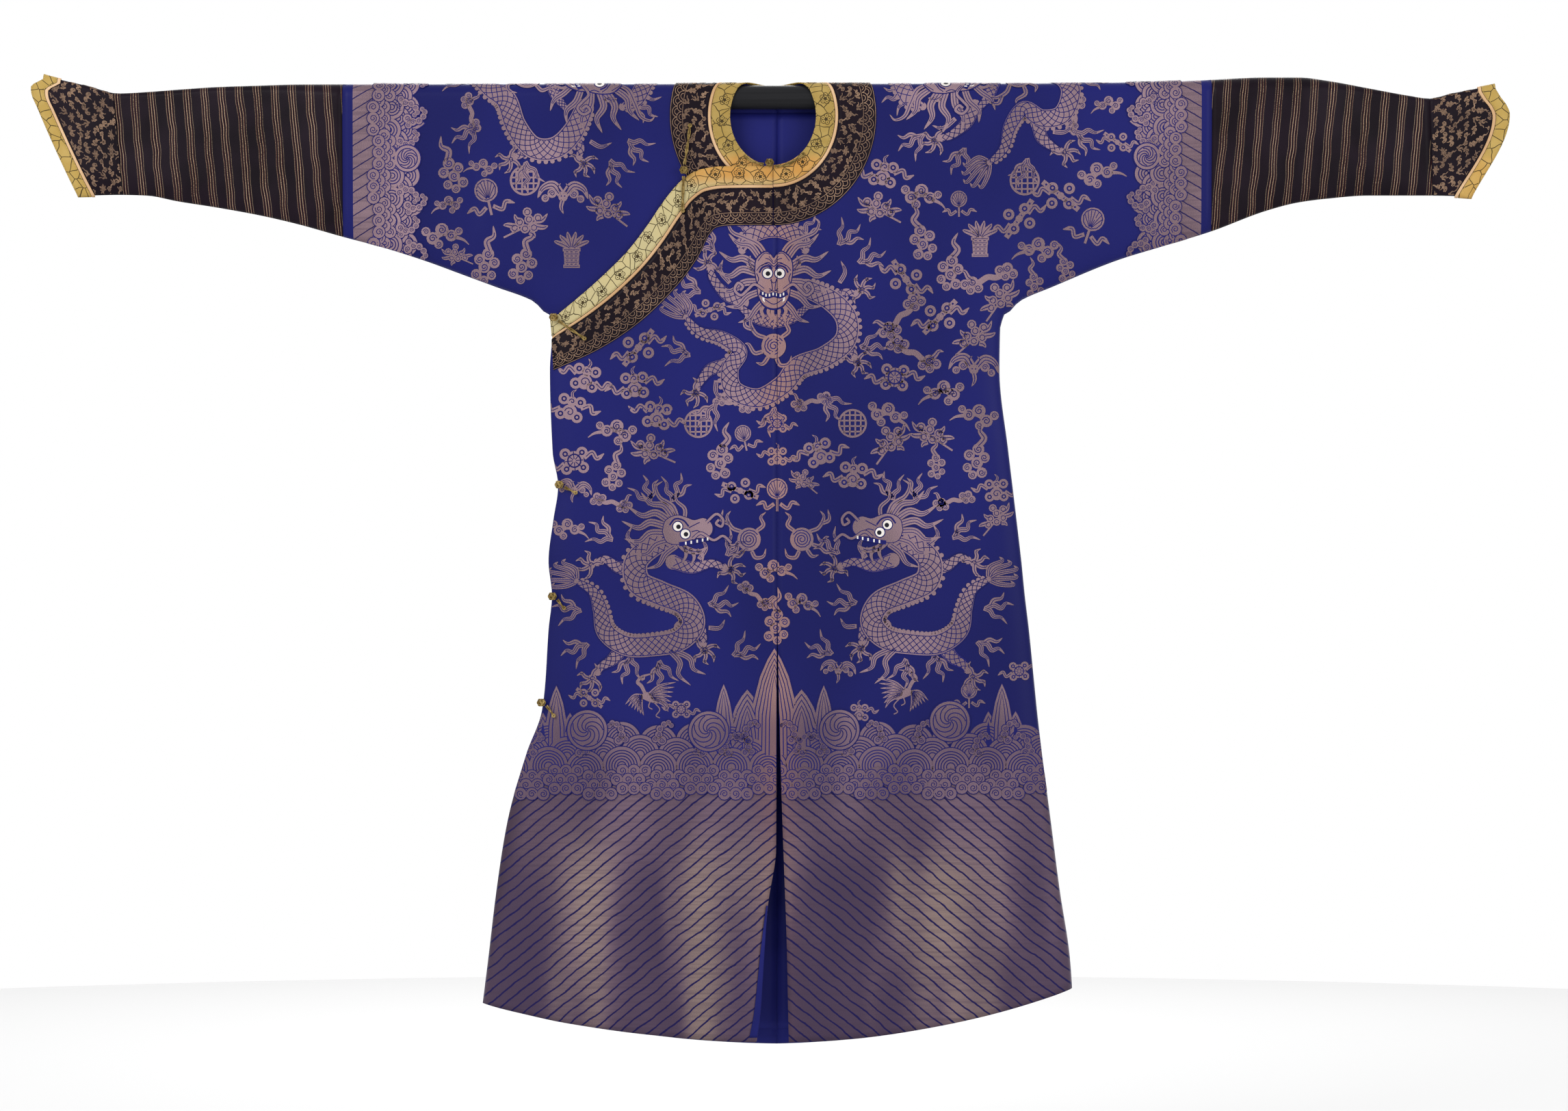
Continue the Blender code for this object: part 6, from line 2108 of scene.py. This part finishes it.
def stitched(name, paths):
    """Stitches along paths of points in millimetres."""
    return grow(new_paths(name, paths), STITCH_TREE, Pitch=STITCH_PITCH * 0.001, Length=STITCH_LENGTH * 0.001,
                Thickness=STITCH_THICK * 0.001, Finish=YELLOW_SILK)


for run in RUNS:
    paths = []
    for place, first, last, steps, face in RUNS[run]:
        for inwards in (STITCH_IN, TRIM_WIDTH - STITCH_IN - 0.6):
            step = np.linspace(first, last, 3 * steps)[2:-2]
            x, s = place(step, np.full(step.shape, inwards))
            paths.append(off_cloth(x, s, np.full(step.shape, LAY_GAP + TRIM_WALL), face))
    BAND_FIGURES[run, "trim"].append(stitched(run + "_trim_stitches", paths))
for side, word in WORDS.items():
    share = np.linspace(0.02, 0.98, 60)
    paths = []
    for inwards in (STITCH_IN, CUFF_TRIM_WIDTH - STITCH_IN):
        x, s = ring_rows(lambda down, inwards=inwards: HOOF.read(word, down) - side * inwards)
        paths.append(off_cloth(x, s, np.full(x.shape, LAY_GAP + TRIM_WALL), "front")[2:-2])
    BAND_FIGURES[word, "trim"] = [stitched("cuff_trim_" + word + "_stitches", paths)]
for pieces in BAND_FIGURES.values():
    for piece in pieces:
        if piece.name.endswith("stitches"):
            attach(piece, "root")


# ============================================================ what each piece stands for
# The slit's lining and the pipings are put in place of their plain nodes, then every panel, band, sleeve, cuff
# and lining too, with the size of its cut printed.

stands_for(slit_lining, "slit_lining")
EDGE_NODES = {(run, kind): run + "_" + kind if run in RUNS else "cuff_" + kind + "_" + run
              for run, kind in edge_pieces}
for (run, kind), piece in edge_pieces.items():
    if kind == "piping":
        stands_for(piece, EDGE_NODES[run, kind])
for (run, kind), piece in edge_pieces.items():
    if kind != "piping":
        going = [edge_pieces[run, "piping"]] if kind == "trim" else []
        hang(piece, EDGE_NODES[run, kind],
             going + BAND_FIGURES.get((run, kind), []))
hang(half_right, "half_right", FIGURES["right"])
hang(half_left, "half_left", FIGURES["left"])
hang(overlap, "overlap_front", [slit_lining] + FIGURES["overlap"])
for side, word in WORDS.items():
    hang(extensions[side], "sleeve_extension_" + word)
    hang(cuffs[side], "cuff_" + word, BAND_FIGURES[side, "cuff"])
    hang(linings[side], "lining_" + word)


# ============================================================ light, floor and camera
# A pale round floor in a white surround, with two soft lamps in front and one behind.  The camera
# looks straight at the front through a long lens.

FLOOR_RADIUS, FLOOR_HEIGHT, FLOOR_SIDES = 4.2, -1.62, 64
floor_mesh = bpy.data.meshes.new("studio_floor")
turns = [a * math.tau / FLOOR_SIDES for a in range(FLOOR_SIDES)]
ring = [(FLOOR_RADIUS * math.cos(a), FLOOR_RADIUS * math.sin(a), FLOOR_HEIGHT) for a in turns]
floor_mesh.from_pydata(ring, [], [tuple(range(FLOOR_SIDES))])
floor = bpy.data.objects.new("studio_floor", floor_mesh)
bpy.context.scene.collection.objects.link(floor)
pale = bpy.data.materials.new("pale_floor")
pale.use_nodes = True
paint = pale.node_tree.nodes["Principled BSDF"].inputs
paint["Base Color"].default_value = (0.68, 0.68, 0.68, 1.0)
paint["Roughness"].default_value = 0.7
floor_mesh.materials.append(pale)

world = bpy.data.worlds.new("studio")
bpy.context.scene.world = world
world.use_nodes = True
surround = world.node_tree.nodes["Background"].inputs
surround["Color"].default_value = (1.0, 1.0, 1.0, 1.0)
surround["Strength"].default_value = 1.0
bpy.context.scene.view_settings.view_transform = "Standard"


def softbox(name, place, target, size, power):
    lamp = bpy.data.lights.new(name, "AREA")
    lamp.shape = "RECTANGLE"
    lamp.size, lamp.size_y = size
    lamp.energy = power
    light = bpy.data.objects.new(name, lamp)
    light.location = place
    light.rotation_euler = (Vector(target) - Vector(place)).to_track_quat("-Z", "Y").to_euler()
    bpy.context.scene.collection.objects.link(light)


softbox("key", (-2.4, -3.6, 1.6), (0.0, 0.0, -0.6), (2.0, 2.0), 90.0)
softbox("fill", (2.8, -3.4, 0.4), (0.0, 0.0, -0.7), (2.2, 2.2), 45.0)
softbox("rear", (0.0, 3.6, 1.8), (0.0, 0.0, -0.7), (3.0, 2.0), 80.0)

lens = bpy.data.cameras.new("camera")
lens.sensor_width = 36.0
lens.lens = 120.0
camera = bpy.data.objects.new("camera", lens)
camera.location = (0.010, -7.64, -0.6695)
camera.rotation_euler = (math.pi / 2, 0.0, 0.0)
bpy.context.scene.collection.objects.link(camera)
bpy.context.scene.camera = camera
